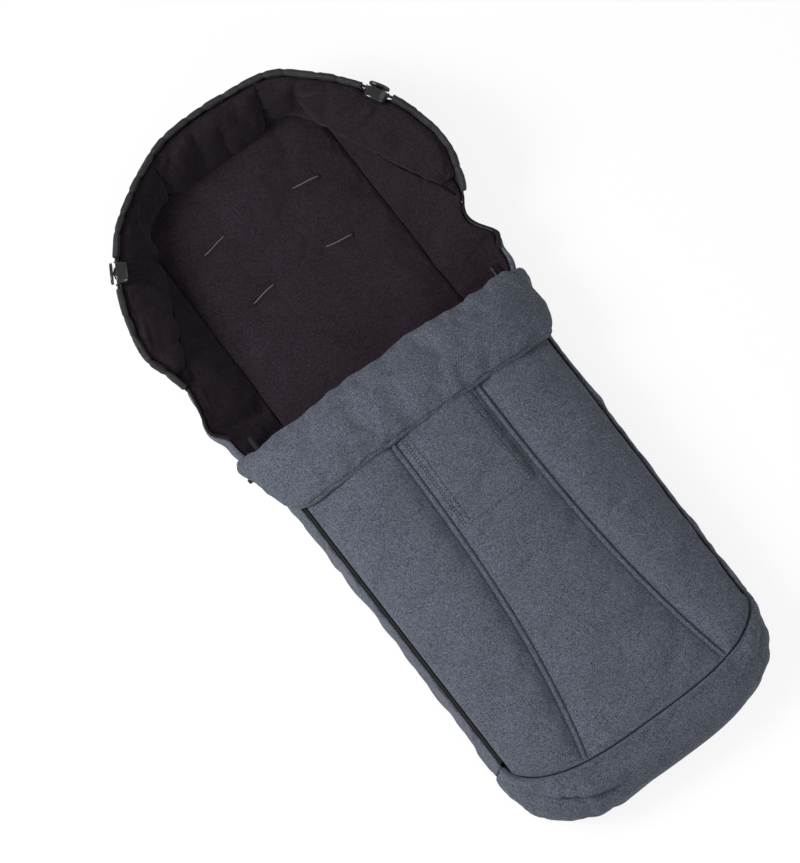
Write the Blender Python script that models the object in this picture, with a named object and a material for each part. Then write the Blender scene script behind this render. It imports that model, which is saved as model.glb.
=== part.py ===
"""A padded stroller footmuff: a sleeping-bag shaped foot cover with a gathered hood.

The muff lies on its back. X runs across it, +Y towards the head, +Z up, in metres.
Its wall is one surface: at each place along the edge a curve rises from the back panel
over a bulge to the top line, where the zips, the toe seam and the hood's cord run.
"""

import math

import bmesh
import bpy
import numpy as np
from mathutils import Matrix, Vector

# Overall size, from which the outlines take their shares
LENGTH = 1.0
HALF_WIDTH = 0.229
RIM_HEIGHT = 0.112

# Back panel, padding and seat pad, from below
GAP = 0.0003
BACK_THICKNESS = 0.003
PADDING_THICKNESS = 0.0097
PADDING_INSET = 0.004
PAD_THICKNESS = 0.0147
PAD_CROWN = 0.006
PAD_HALF_WIDTH = 0.598 * HALF_WIDTH
PAD_EDGE_ROUND = 0.004
PAD_SIDE_TUCK = 0.003
BACK_TOP = BACK_THICKNESS + GAP
PADDING_TOP = BACK_TOP + PADDING_THICKNESS
PAD_BOTTOM = PADDING_TOP + GAP
PAD_TOP = PAD_BOTTOM + PAD_THICKNESS

# Outer cloth, lining and the straight zips along both sides
CLOTH = 0.003
LINING_GAP = 0.0012
LINING_TOP_THICKNESS = 0.0055
LINING_SWELL = 0.004
ZIP_FOOT_Y = -0.385 * LENGTH
ZIP_HEAD_Y = 0.136 * LENGTH
ZIP_FOOT_X = 0.79 * HALF_WIDTH
ZIP_HEAD_X = 0.814 * HALF_WIDTH
ZIP_FOOT_Z = 0.554 * RIM_HEIGHT
ZIP_HEAD_Z = 0.609 * RIM_HEIGHT
ZIP_SLOPE = math.radians(52)
BULGE_REACH = 0.0356
BACK_FOOT_X = 0.786 * HALF_WIDTH
BACK_HEAD_X = 0.812 * HALF_WIDTH

# Toe: how far the back panel, the bulge and the seam reach past the zips
TOE_BACK_DEPTH = 0.101 * LENGTH
TOE_BULGE_DEPTH = 0.152 * LENGTH
TOE_SEAM_DEPTH = 0.064 * LENGTH
TOE_PAD_DEPTH = 0.085 * LENGTH
TOE_BULGE_Z = 0.518 * RIM_HEIGHT
TOE_BACK_POWER = 3.1
TOE_POWER = 3.2
TOE_BULGE_POWER = 4

# Cover
MOUTH_Y = 0.107 * LENGTH
MOUTH_HEIGHT = 0.964 * RIM_HEIGHT
TOE_HEIGHT = 0.768 * RIM_HEIGHT
COVER_SWELL = 0.005
COVER_TOP_PULL = 1.087 * HALF_WIDTH
COVER_EDGE_PULL = 0.41 * HALF_WIDTH
COVER_THICKNESS = 0.010
COVER_TOE_GAP = 0.0014
COVER_LINING_TOE_GAP = 0.004
COVER_LINING_THICKNESS = 0.005
SEAM_GAP = 0.0004
GUSSET_GAP = 0.0008
SEAM_TUCK = 0.0015
SEAM_MOUTH_SHARE = 0.26
SEAM_FLARE_SHARE = 0.20
SEAM_FLARE_POWER = 3.4

# Patch and turned-down cuff
PATCH_HALF_WIDTH_SHARE = 0.215
PATCH_FOOT_Y = -0.129 * LENGTH
PATCH_THICKNESS = 0.0012
CUFF_FREE_Y = 0.007 * LENGTH
CUFF_END_RISE = 0.041
CUFF_HEAD_RISE = 0.007
CUFF_WRAP = 0.027
CUFF_STAND_OFF = 0.0018
CUFF_SIDE_STAND_OFF = 0.008
CUFF_BACK_THICKNESS = 0.003
CUFF_FACE_THICKNESS = 0.007
CUFF_CROWN_SHARE = 0.6

# Zip chain, in the plane across the zip: distance from its middle, depth below the cloth's face
CLOTH_SET_BACK = 0.0045
LINING_SET_BACK = 0.007
CHAIN_HALF_GAP = 0.0008
TAPE_FLAT = 0.0041
TAPE_WIDTH = 0.0085
TAPE_DEPTH = 0.0035
TAPE_DROP = 0.0012
TAPE_THICKNESS = 0.0008
TOOTH_REACH = 0.0026
TOOTH_HEIGHT = 0.002
TOOTH_PITCH = 0.012
TOOTH_LENGTH = 0.005
TAPE_FOOT_GAP = 0.005
SLIDER_Y = 0.095 * LENGTH
SLIDER_LENGTH = 0.022
SLIDER_HALF_WIDTH = 0.0056
SLIDER_PLATE = 0.0017
SLIDER_FLANGE = 0.0009
SLIDER_FLANGE_RISE = 0.0014
SLIDER_TOP_HALF_WIDTH = 0.0041
SLIDER_POST_HALF = 0.0005
SLIDER_CLEARANCE = 0.0005
LUG_HALF_WIDTH = 0.0011
LUG_BAR = 0.0009
LUG_WINDOW_HALF = 0.0015
LUG_WINDOW_HEIGHT = 0.0028
LUG_PLACE = -0.004
PULL_THICKNESS = 0.0014
PULL_RUN = 0.029
PULL_RISE = 0.0055
PULL_TIP = 0.013
PULL_HALF_WIDTH = 0.004
PULL_EYE_LENGTH = 0.0042
PULL_EYE_HALF_WIDTH = 0.0017
PULL_WIDTH_SHARES = (0.8, 0.8, 1, 1, 1, 0.9, 0.6)
PULL_TIP_SHARES = (0.3, 0.8, 1)

# Hood's cord tunnel, drawcord and cord locks
TUNNEL_RADIUS = 0.0046
TUNNEL_BORE = 0.0027
CORD_RADIUS = 0.002
TUNNEL_FOOT_SHARE = 0.08
RIM_MARGIN = 0.0053
LOCK_MARGIN = 0.0112
LOCK_GAP = 0.0208
LOCK_HALF_LENGTH = 0.015
LOCK_HALF_HEIGHT = 0.0085
LOCK_INNER = 0.0135
LOCK_OUTER = 0.002
LOCK_BORE = 0.0026
LOCK_WALL = 0.0015
PLUNGER_HALF_LENGTH = 0.0085
PLUNGER_HALF_HEIGHT = 0.0052
PLUNGER_INNER = 0.0055
BUTTON_TRAVEL = 0.003
BUTTON_THICKNESS = 0.004
BUTTON_HALF_LENGTH = 0.014
BUTTON_HALF_HEIGHT = 0.008
SPRING_RADIUS = 0.0022
SPRING_WIRE = 0.00035
SPRING_TURNS = 2

# Harness slots through the pad: distance from the middle line, place along it and slant
SLOT_LENGTH = 0.038
SLOT_WIDTH = 0.007
SLOT_WALL = 0.0009
SLOT_RISE = 0.001
SLOT_SLANT = math.radians(10)
SLOT_UPPER_X = 0.306 * HALF_WIDTH
SLOT_UPPER_Y = 0.367 * LENGTH
SLOT_LOWER_X = 0.253 * HALF_WIDTH
SLOT_LOWER_Y = 0.279 * LENGTH
SLOT_CROTCH_Y = 0.08 * LENGTH
CUT_OVERRUN = 0.01

# Stations of the wall past the zips, from zip end to head: shares of half width, length and rim height
BACK_SHARES = (
    (0.803, 0.162), (0.769, 0.221), (0.742, 0.300), (0.729, 0.364),
    (0.707, 0.404), (0.638, 0.446), (0.393, 0.476), (0.0, 0.486),
)
BULGE_SHARES = (
    (0.940, 0.162, 0.357), (0.900, 0.221, 0.375), (0.930, 0.298, 0.464), (0.882, 0.364, 0.518),
    (0.808, 0.408, 0.536), (0.699, 0.452, 0.518), (0.410, 0.494, 0.482), (0.0, 0.507, 0.446),
)
RIM_SHARES = (
    (0.925, 0.162, 0.714), (0.891, 0.221, 0.750), (1.0, 0.292, 1.0), (0.917, 0.364, 1.0),
    (0.812, 0.4056, 1.0), (0.655, 0.444, 0.973), (0.371, 0.487, 0.929), (0.0, 0.5005, 0.893),
)
PAD_EDGE_SHARES = (
    (1.0, 0.162), (1.0, 0.221), (1.0, 0.300), (1.0, 0.364),
    (0.997, 0.402), (0.905, 0.444), (0.560, 0.461), (0.0, 0.466),
)
GUSSET_SHARES = (1, 0.667, 0.555, 0.4, 0.27, 0.18, 0)

# Places along the edge: 0 toe middle, 1 zip foot, 2 zip head, then one for each station above
ZIP_FOOT = 1
ZIP_HEAD = 2
NOTCH = 4
LOCK_FOOT = 6
LOCK_HEAD = 7
CORNER = 8
HEAD_SEAM = 9
HEAD_MIDDLE = 10
GUSSET_PLACES = (4, 4.667, 5, 6, 7, 7.333, 8)

# Steps of the meshes
WALL_ROW_SHARES = (0, 0.18, 0.36, 0.54, 0.72, 0.88, 1)
LINING_ROW_SHARES = (0, 0.14, 0.32, 0.54, 0.78, 1)
COVER_ROW_SHARES = (0, 0.04, 0.12, 0.24, 0.4, 0.6, 0.8, 1)
CUFF_ROW_SHARES = (0, 0.06, 0.2, 0.4, 0.6, 0.8, 0.94, 1)
EDGE_COLUMNS = (0.009, 0.014, 0.022, 0.030)
SIDE_STEPS = 6
HOOD_STEPS = 3
TUBE_SIDES = 8
CORD_SIDES = 6
PLACE_STEP_SHARE = 0.001

NYLON = (0.030, 0.028, 0.032)
SOFTSHELL = (0.088, 0.098, 0.127)
FLEECE = (0.022, 0.017, 0.021)
WADDING = (0.75, 0.74, 0.72)
BLACK_TAPE = (0.018, 0.018, 0.020)
BLACK_PLASTIC = (0.035, 0.034, 0.037)
DARK_METAL = (0.12, 0.12, 0.13)


def clear_scene():
    for obj in list(bpy.data.objects):
        bpy.data.objects.remove(obj, do_unlink=True)


def material(name, colour, roughness, metallic=0.0):
    made = bpy.data.materials.get(name)
    if made is None:
        made = bpy.data.materials.new(name)
        made.use_nodes = True
        shader = made.node_tree.nodes["Principled BSDF"]
        shader.inputs["Base Color"].default_value = (*colour, 1)
        shader.inputs["Roughness"].default_value = roughness
        shader.inputs["Metallic"].default_value = metallic
        made.diffuse_color = (*colour, 1)
    return made


def softshell():
    return material("blue_grey_softshell", SOFTSHELL, 0.85)


def fleece():
    return material("dark_fleece", FLEECE, 0.95)


def nylon():
    return material("black_nylon", NYLON, 0.5)


def plastic():
    return material("black_plastic", BLACK_PLASTIC, 0.3)


def place_mesh(name, bm, finish, origin=(0, 0, 0), smooth=True):
    """Makes the object, with its origin where it turns or slides."""
    bmesh.ops.recalc_face_normals(bm, faces=bm.faces[:])
    origin = Vector(origin)
    bmesh.ops.translate(bm, vec=-origin, verts=bm.verts[:])
    mesh = bpy.data.meshes.new(name)
    bm.to_mesh(mesh)
    bm.free()
    obj = bpy.data.objects.new(name, mesh)
    obj.location = origin
    bpy.context.scene.collection.objects.link(obj)
    mesh.materials.append(finish)
    if smooth:
        mesh.shade_smooth()
        mesh.set_sharp_from_angle(angle=math.radians(40))
    return obj


def lerp(a, b, share):
    return a + (b - a) * share


def mirrored(point):
    return Vector((-point[0], point[1], point[2]))


# Guides: curves along the edge that carry the wall


def zip_line(y):
    """The middle of the right zip at this y. It is straight."""
    share = (y - ZIP_FOOT_Y) / (ZIP_HEAD_Y - ZIP_FOOT_Y)
    return Vector((lerp(ZIP_FOOT_X, ZIP_HEAD_X, share), y, lerp(ZIP_FOOT_Z, ZIP_HEAD_Z, share)))


def zip_axes():
    """Along the zip towards the head, across it towards the cover, and out of the cloth."""
    along = (zip_line(ZIP_HEAD_Y) - zip_line(ZIP_FOOT_Y)).normalized()
    across = Vector((-math.cos(ZIP_SLOPE), 0, math.sin(ZIP_SLOPE)))
    return along, across, along.cross(across).normalized()


def bulge_line(y):
    reach = Vector((math.cos(ZIP_SLOPE), 0, -math.sin(ZIP_SLOPE))) * BULGE_REACH
    return zip_line(y) + reach


def back_line(y):
    share = (y - ZIP_FOOT_Y) / (ZIP_HEAD_Y - ZIP_FOOT_Y)
    return Vector((lerp(BACK_FOOT_X, BACK_HEAD_X, share), y, BACK_TOP))


def pad_line(y):
    return Vector((PAD_HALF_WIDTH + GAP, y, PAD_BOTTOM))


def hood_stations(shares, line):
    """The guide's points from the zip's head end to the head."""
    points = [line(ZIP_HEAD_Y)]
    for row in shares:
        width = PAD_HALF_WIDTH + GAP if line is pad_line else HALF_WIDTH
        height = row[2] * RIM_HEIGHT if len(row) == 3 else points[0].z
        points.append(Vector((row[0] * width, row[1] * LENGTH, height)))
    return points


HOOD = {
    "back": hood_stations(BACK_SHARES, back_line),
    "bulge": hood_stations(BULGE_SHARES, bulge_line),
    "rim": hood_stations(RIM_SHARES, zip_line),
    "pad": hood_stations(PAD_EDGE_SHARES, pad_line),
}
LINES = {"back": back_line, "bulge": bulge_line, "rim": zip_line, "pad": pad_line}


def hood_point(guide, place):
    """A smooth curve through the stations, straight past the cord lock."""
    points = HOOD[guide]
    line = LINES[guide]
    last = len(points) - 1
    index = min(int(place - ZIP_HEAD), last - 1)
    share = place - ZIP_HEAD - index

    def station(k):
        if k < 0:
            return line(ZIP_FOOT_Y)
        if k > last:
            return mirrored(points[2 * last - k])
        return points[k]

    def slope(k):
        if k == 0:
            return (points[0] - line(ZIP_FOOT_Y)).normalized()
        if k in (LOCK_FOOT - ZIP_HEAD, LOCK_HEAD - ZIP_HEAD):
            first = LOCK_FOOT - ZIP_HEAD
            return (points[first + 1] - points[first]).normalized()
        before, here, after = station(k - 1), station(k), station(k + 1)
        return (after - before) / ((after - here).length + (here - before).length)

    start, end = points[index], points[index + 1]
    chord = (end - start).length
    s2, s3 = share**2, share**3
    return (
        start * (2 * s3 - 3 * s2 + 1)
        + slope(index) * chord * (s3 - 2 * s2 + share)
        + end * (3 * s2 - 2 * s3)
        + slope(index + 1) * chord * (s3 - s2)
    )


# Cover surface: an arch between the zips, and the toe seam where it ends


def arch_centre(y):
    toe_y = ZIP_FOOT_Y - TOE_SEAM_DEPTH
    share = (y - toe_y) / (MOUTH_Y - toe_y)
    swell = COVER_SWELL * 4 * share * (1 - share)
    return lerp(TOE_HEIGHT, MOUTH_HEIGHT, share) + swell


def arch(across, y):
    """Point and outward normal of the cover's face, for across from 0 at the middle to 1 at the zip."""
    edge = zip_line(y)
    a = abs(across)
    pull = Vector((math.cos(ZIP_SLOPE), -math.sin(ZIP_SLOPE))) * COVER_EDGE_PULL
    top = Vector((0, arch_centre(y)))
    rim = Vector((edge.x, edge.z))
    lead = Vector((COVER_TOP_PULL, 0))
    if a <= 1:
        flat = (
            top * (2 * a**3 - 3 * a**2 + 1)
            + lead * (a**3 - 2 * a**2 + a)
            + rim * (3 * a**2 - 2 * a**3)
            + pull * (a**3 - a**2)
        )
        slope = (
            (top - rim) * (6 * a**2 - 6 * a)
            + lead * (3 * a**2 - 4 * a + 1)
            + pull * (3 * a**2 - 2 * a)
        )
    else:
        flat = rim + pull * (a - 1)
        slope = pull
    slope.normalize()
    side = math.copysign(1, across)
    return Vector((side * flat.x, y, flat.y)), Vector((-side * slope.y, 0, slope.x))


def toe_share(across):
    """How far across the toe this column lies, from 0 at the middle to 1 at the zip."""
    return min(arch(abs(across), ZIP_FOOT_Y)[0].x / ZIP_FOOT_X, 1)


def toe_depth(share, depth, power):
    return depth * math.sqrt(max(1 - share**power, 0))


def seam_y(across):
    return ZIP_FOOT_Y - toe_depth(toe_share(across), TOE_SEAM_DEPTH, TOE_POWER)


def toe_point(guide, across):
    share = toe_share(across)
    if guide == "rim":
        return arch(across, seam_y(across))[0]
    start = LINES[guide](ZIP_FOOT_Y)
    depth, power = {
        "back": (TOE_BACK_DEPTH, TOE_BACK_POWER),
        "bulge": (TOE_BULGE_DEPTH, TOE_POWER),
        "pad": (TOE_PAD_DEPTH, TOE_BACK_POWER),
    }[guide]
    height = start.z
    if guide == "bulge":
        height = lerp(TOE_BULGE_Z, start.z, share**TOE_BULGE_POWER)
    return Vector((start.x * share, ZIP_FOOT_Y - toe_depth(share, depth, power), height))


def guide_point(guide, place):
    """A guide's point at this place along the edge. Places below 0 and past the head are on the left."""
    if place < 0:
        return mirrored(guide_point(guide, -place))
    if place > HEAD_MIDDLE:
        return mirrored(guide_point(guide, 2 * HEAD_MIDDLE - place))
    if place <= ZIP_FOOT:
        return toe_point(guide, place)
    if place <= ZIP_HEAD:
        return LINES[guide](lerp(ZIP_FOOT_Y, ZIP_HEAD_Y, place - ZIP_FOOT))
    return hood_point(guide, place)


def wall(place, rise):
    """The wall's outer face, from the back panel at rise 0 to the top line at rise 1."""
    back = guide_point("back", place)
    bulge = guide_point("bulge", place)
    rim = guide_point("rim", place)
    return back * (1 - rise) ** 2 + bulge * (2 * rise * (1 - rise)) + rim * rise**2


def inset_wall(place, rise, depth):
    """A point of the wall moved in from its outer face."""
    step = PLACE_STEP_SHARE / 10
    if place < 0:
        return mirrored(inset_wall(-place, rise, depth))
    if place > HEAD_MIDDLE:
        return mirrored(inset_wall(2 * HEAD_MIDDLE - place, rise, depth))
    forward = wall(place + step, rise) - wall(place - step, rise)
    if place < step:
        forward = Vector((1, 0, 0))
    elif abs(place - ZIP_FOOT) < step:
        forward = zip_axes()[0]
    upward = wall(place, rise + step) - wall(place, rise - step)
    return wall(place, rise) - forward.cross(upward).normalized() * depth


def top_rise(place, margin):
    """The rise at which the wall stops short of its top line by this margin."""
    place = abs(place)
    span = (guide_point("rim", place) - guide_point("bulge", place)).length * 2
    return 1 - margin / span


def rise_at_height(place, height):
    low, high = 0.0, 1.0
    for _ in range(30):
        middle = (low + high) / 2
        if wall(place, middle).z < height:
            low = middle
        else:
            high = middle
    return high


# Mesh helpers


def shell(outer, inner):
    """A closed body between two grids of points, each a list of rows of equal length."""
    bm = bmesh.new()
    rows, columns = len(outer), len(outer[0])
    faces = [[[bm.verts.new(point) for point in row] for row in grid] for grid in (outer, inner)]
    for grid in faces:
        for j in range(rows - 1):
            for i in range(columns - 1):
                bm.faces.new((grid[j][i], grid[j][i + 1], grid[j + 1][i + 1], grid[j + 1][i]))
    front, rear = faces
    border = [(0, i) for i in range(columns)]
    border += [(j, columns - 1) for j in range(1, rows)]
    border += [(rows - 1, i) for i in range(columns - 2, -1, -1)]
    border += [(j, 0) for j in range(rows - 2, 0, -1)]
    for (j, i), (m, n) in zip(border, border[1:] + border[:1]):
        bm.faces.new((front[j][i], front[m][n], rear[m][n], rear[j][i]))
    return bm


def prism(outline, low, high):
    """A flat piece: an outline in the XY plane between two heights."""
    bm = bmesh.new()
    bottom = [bm.verts.new((p[0], p[1], low)) for p in outline]
    top = [bm.verts.new((p[0], p[1], high)) for p in outline]
    bm.faces.new(bottom)
    bm.faces.new(top)
    for k in range(len(outline)):
        n = (k + 1) % len(outline)
        bm.faces.new((bottom[k], bottom[n], top[n], top[k]))
    return bm


def loft(sections, closed=True):
    """A solid through closed sections of equal count, capped at both ends."""
    bm = bmesh.new()
    rings = [[bm.verts.new(point) for point in section] for section in sections]
    count = len(rings[0])
    for a, b in zip(rings, rings[1:]):
        for k in range(count):
            n = (k + 1) % count
            bm.faces.new((a[k], a[n], b[n], b[k]))
    if closed:
        bm.faces.new(rings[0])
        bm.faces.new(rings[-1])
    return bm


def oval(half_length, half_height, count=16, power=2.6):
    """A rounded outline, as pairs."""
    points = []
    for k in range(count):
        angle = 2 * math.pi * k / count
        c, s = math.cos(angle), math.sin(angle)
        points.append(
            (
                half_length * math.copysign(abs(c) ** (2 / power), c),
                half_height * math.copysign(abs(s) ** (2 / power), s),
            )
        )
    return points


def cut(obj, tool, operation="DIFFERENCE"):
    """Cuts or joins another object by an exact Boolean."""
    tool.hide_render = True
    tool.display_type = "WIRE"
    modifier = obj.modifiers.new(tool.name, "BOOLEAN")
    modifier.object = tool
    modifier.operation = operation
    modifier.solver = "EXACT"


def mirror_mesh(obj, name):
    """The same piece for the left side."""
    bm = bmesh.new()
    bm.from_mesh(obj.data)
    bmesh.ops.scale(bm, vec=(-1, 1, 1), verts=bm.verts[:])
    bmesh.ops.translate(bm, vec=mirrored(obj.location), verts=bm.verts[:])
    return place_mesh(name, bm, obj.data.materials[0], mirrored(obj.location))


def edge_places(first, last, per_station=HOOD_STEPS):
    """Places along the hood's edge, denser than its stations."""
    count = round((last - first) * per_station)
    return [lerp(first, last, k / count) for k in range(count + 1)]


def seam_across(share):
    """Where the long seam of the cover lies across it, from the toe at share 0 to the mouth."""
    return SEAM_MOUTH_SHARE + SEAM_FLARE_SHARE * (1 - share) ** SEAM_FLARE_POWER


def edge_across(distance):
    return 1 - distance / COVER_EDGE_PULL


def toe_columns():
    """Columns across the toe from the middle to the zip, those of the cover among them."""
    seam = seam_across(0)
    columns = [0, seam / 3, 2 * seam / 3, seam]
    start, end = seam, edge_across(EDGE_COLUMNS[-1])
    columns += [lerp(start, end, k / 3) for k in (1, 2, 3)]
    columns += [edge_across(d) for d in EDGE_COLUMNS[-2::-1]]
    columns += [edge_across(CLOTH_SET_BACK), edge_across(CLOTH_SET_BACK / 3), 1]
    return columns


def side_places():
    foot = GAP / (ZIP_HEAD_Y - ZIP_FOOT_Y)
    return [ZIP_FOOT + foot] + [ZIP_FOOT + k / SIDE_STEPS for k in range(1, SIDE_STEPS + 1)]


def seam_step(place):
    """A change of place worth one gap, at a station of the hood."""
    step = PLACE_STEP_SHARE
    speed = (guide_point("back", place + step) - guide_point("back", place - step)).length / (2 * step)
    return GAP / 2 / speed


# Walls


def wall_piece(name, places, margins, finish):
    outer, inner = [], []
    for share in WALL_ROW_SHARES:
        rises = [share * top_rise(place, margin) for place, margin in zip(places, margins)]
        outer.append([inset_wall(place, rise, 0) for place, rise in zip(places, rises)])
        inner.append([inset_wall(place, rise, CLOTH) for place, rise in zip(places, rises)])
    return place_mesh(name, shell(outer, inner), finish)


def make_walls():
    half = toe_columns()
    places = [-a for a in reversed(half[1:])] + half
    wall_piece("toe_cap", places, [GAP] * len(places), softshell())
    sides = side_places()
    flare = edge_places(ZIP_HEAD, NOTCH)[1:]
    flare[-1] -= seam_step(NOTCH)
    margins = [CLOTH_SET_BACK] * len(sides) + [CLOTH_SET_BACK / 2] + [0] * (len(flare) - 1)
    right = wall_piece("side_wall_right", sides + flare, margins, softshell())
    mirror_mesh(right, "side_wall_left")
    hood = edge_places(NOTCH, HEAD_SEAM)
    hood[0] += seam_step(NOTCH)
    hood[-1] -= seam_step(HEAD_SEAM)
    right = wall_piece("hood_side_panel_right", hood, [rim_margin(p) for p in hood], nylon())
    mirror_mesh(right, "hood_side_panel_left")
    head = edge_places(HEAD_SEAM, 2 * HEAD_MIDDLE - HEAD_SEAM)
    head[0] += seam_step(HEAD_SEAM)
    head[-1] -= seam_step(HEAD_SEAM)
    wall_piece("hood_head_panel", head, [RIM_MARGIN] * len(head), nylon())


# Linings: a wedge of padding from the seat pad's edge to the top of the wall


def rim_margin(place):
    """How far the hood's cloth stops below the cord: further beside a cord lock."""
    beside = abs(place - (LOCK_FOOT + LOCK_HEAD) / 2) * 2
    return lerp(LOCK_MARGIN, RIM_MARGIN, min(max(2 * beside - 1, 0), 1))


def lining_margin(place):
    if place <= ZIP_HEAD:
        return LINING_SET_BACK
    if place < NOTCH:
        return lerp(LINING_SET_BACK, CLOTH, min(place - ZIP_HEAD, 1))
    return rim_margin(place)


def lining_points(place, share):
    """Outer and inner point of the lining at this share of its rise."""
    folded = abs(place)
    if folded > HEAD_MIDDLE:
        folded = 2 * HEAD_MIDDLE - folded
    zipped = folded <= ZIP_HEAD + 0.5
    bottom = rise_at_height(folded, PAD_BOTTOM + LINING_GAP)
    top = top_rise(folded, lining_margin(folded))
    near_zip = (TAPE_DEPTH + TAPE_DROP + TAPE_THICKNESS + SLIDER_CLEARANCE) if zipped else 0
    depth = max(CLOTH + LINING_GAP, near_zip * share**2)
    outer = inset_wall(folded, lerp(bottom, top, share), depth)
    edge = guide_point("pad", folded)
    knee = LINING_ROW_SHARES[1]
    crest = Vector((edge.x, edge.y, PAD_TOP - PAD_EDGE_ROUND))
    if share <= knee:
        inner = edge.lerp(crest, share / knee)
    else:
        local = (share - knee) / (1 - knee)
        end = inset_wall(folded, top, depth + LINING_TOP_THICKNESS)
        inward = Vector((edge.x - end.x, edge.y - end.y)).normalized() * LINING_SWELL
        inner = crest.lerp(end, local) + inward.to_3d() * (4 * local * (1 - local))
    if place < 0 or place > HEAD_MIDDLE:
        return mirrored(outer), mirrored(inner)
    return outer, inner


def lining_piece(name, places, low, high):
    outer, inner = [], []
    for row in LINING_ROW_SHARES:
        pairs = [lining_points(p, lerp(low(p), high(p), row)) for p in places]
        outer.append([pair[0] for pair in pairs])
        inner.append([pair[1] for pair in pairs])
    return place_mesh(name, shell(outer, inner), fleece())


def gusset_top(place):
    """The slanting seam of the side lining and the hood's: the share of the rise it runs at."""
    return float(np.interp(place, GUSSET_PLACES, GUSSET_SHARES))


def make_linings():
    half = toe_columns()
    toe = [-a for a in reversed(half[1:])] + half
    lining_piece("toe_lining", toe, lambda p: 0, lambda p: 1)
    seam_share = GUSSET_GAP / RIM_HEIGHT
    last = CORNER - 1 / HOOD_STEPS
    side = side_places() + edge_places(ZIP_HEAD, last)[1:]
    right = lining_piece("side_lining_right", side, lambda p: 0, lambda p: gusset_top(p) - seam_share)
    mirror_mesh(right, "side_lining_left")
    wing = edge_places(NOTCH + 1 / HOOD_STEPS, HEAD_SEAM)
    wing[-1] -= seam_step(HEAD_SEAM)
    right = lining_piece(
        "hood_side_lining_right",
        wing,
        lambda p: max(gusset_top(p), 0) + (seam_share if p <= last else 0),
        lambda p: 1,
    )
    mirror_mesh(right, "hood_side_lining_left")
    head = edge_places(HEAD_SEAM, 2 * HEAD_MIDDLE - HEAD_SEAM)
    head[0] += seam_step(HEAD_SEAM)
    head[-1] -= seam_step(HEAD_SEAM)
    lining_piece("hood_head_lining", head, lambda p: 0, lambda p: 1)


# Back panel, padding and seat pad, with the harness slots through all three


def around(guide, inset=0.0):
    """The whole outline of a guide, seen from above, moved in by an inset."""
    half = toe_columns()[1:] + side_places()[1:] + edge_places(ZIP_HEAD, HEAD_MIDDLE)[1:-1]
    right = [guide_point(guide, p) for p in half]
    toe, head = guide_point(guide, 0), guide_point(guide, HEAD_MIDDLE)
    points = [toe] + right + [head] + [mirrored(p) for p in reversed(right)]
    moved = []
    for k, point in enumerate(points):
        before, after = points[k - 1], points[(k + 1) % len(points)]
        forward = (after - before).normalized()
        moved.append((point.x - forward.y * inset, point.y + forward.x * inset))
    return moved


def slot_places():
    return {
        "upper_left": (-SLOT_UPPER_X, SLOT_UPPER_Y, SLOT_SLANT),
        "upper_right": (SLOT_UPPER_X, SLOT_UPPER_Y, -SLOT_SLANT),
        "lower_left": (-SLOT_LOWER_X, SLOT_LOWER_Y, SLOT_SLANT),
        "lower_right": (SLOT_LOWER_X, SLOT_LOWER_Y, -SLOT_SLANT),
        "crotch": (0, SLOT_CROTCH_Y, 0),
    }


def slot_outline(x, y, slant, grow):
    turn = Matrix.Rotation(slant, 2)
    points = oval(SLOT_LENGTH / 2 + grow, SLOT_WIDTH / 2 + grow, power=5)
    return [Vector((x, y)) + turn @ Vector(p) for p in points]


def pad_rows():
    """Places along the pad's edge, short of its very ends, where it would have no width."""
    toe = [a for a in toe_columns() if a > SEAM_MOUTH_SHARE]
    hood = edge_places(ZIP_HEAD, HEAD_SEAM + 2 / HOOD_STEPS)
    return toe + side_places()[1::2] + hood


def pad_height(across, along):
    """Top of the pad: crowned, lower at its edges and ends."""
    return PAD_TOP + PAD_CROWN * (1 - across**2) * (1 - along**6)


def make_seat_pad():
    places = pad_rows()
    edges = [guide_point("pad", p) for p in places]
    middle = (edges[0].y + edges[-1].y) / 2
    reach = (edges[-1].y - edges[0].y) / 2
    end_tuck = 1 - PAD_SIDE_TUCK / reach
    end_round = 1 - PAD_EDGE_ROUND / reach
    side_steps = 5
    bm = bmesh.new()
    rings = []
    for edge in edges:
        half = edge.x - GAP
        along = (edge.y - middle) / reach
        y = middle + (edge.y - middle) * (1 - GAP / reach)
        low_y = middle + (y - middle) * end_tuck
        ring = [(half - PAD_SIDE_TUCK, low_y, PAD_BOTTOM), (half, y, PAD_TOP - PAD_EDGE_ROUND)]
        top_y = middle + (y - middle) * end_round
        for k in range(2 * side_steps + 1):
            across = 1 - k / side_steps
            x = across * (half - PAD_EDGE_ROUND)
            ring.append((x, top_y, pad_height(across, along)))
        ring += [(-half, y, PAD_TOP - PAD_EDGE_ROUND), (-(half - PAD_SIDE_TUCK), low_y, PAD_BOTTOM)]
        rings.append([bm.verts.new(p) for p in ring])
    for a, b in zip(rings, rings[1:]):
        for k in range(len(a) - 1):
            bm.faces.new((a[k], a[k + 1], b[k + 1], b[k]))
    bm.faces.new(rings[0])
    bm.faces.new(rings[-1])
    bm.faces.new([ring[0] for ring in rings] + [ring[-1] for ring in reversed(rings)])
    return place_mesh("seat_pad", bm, fleece())


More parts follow.
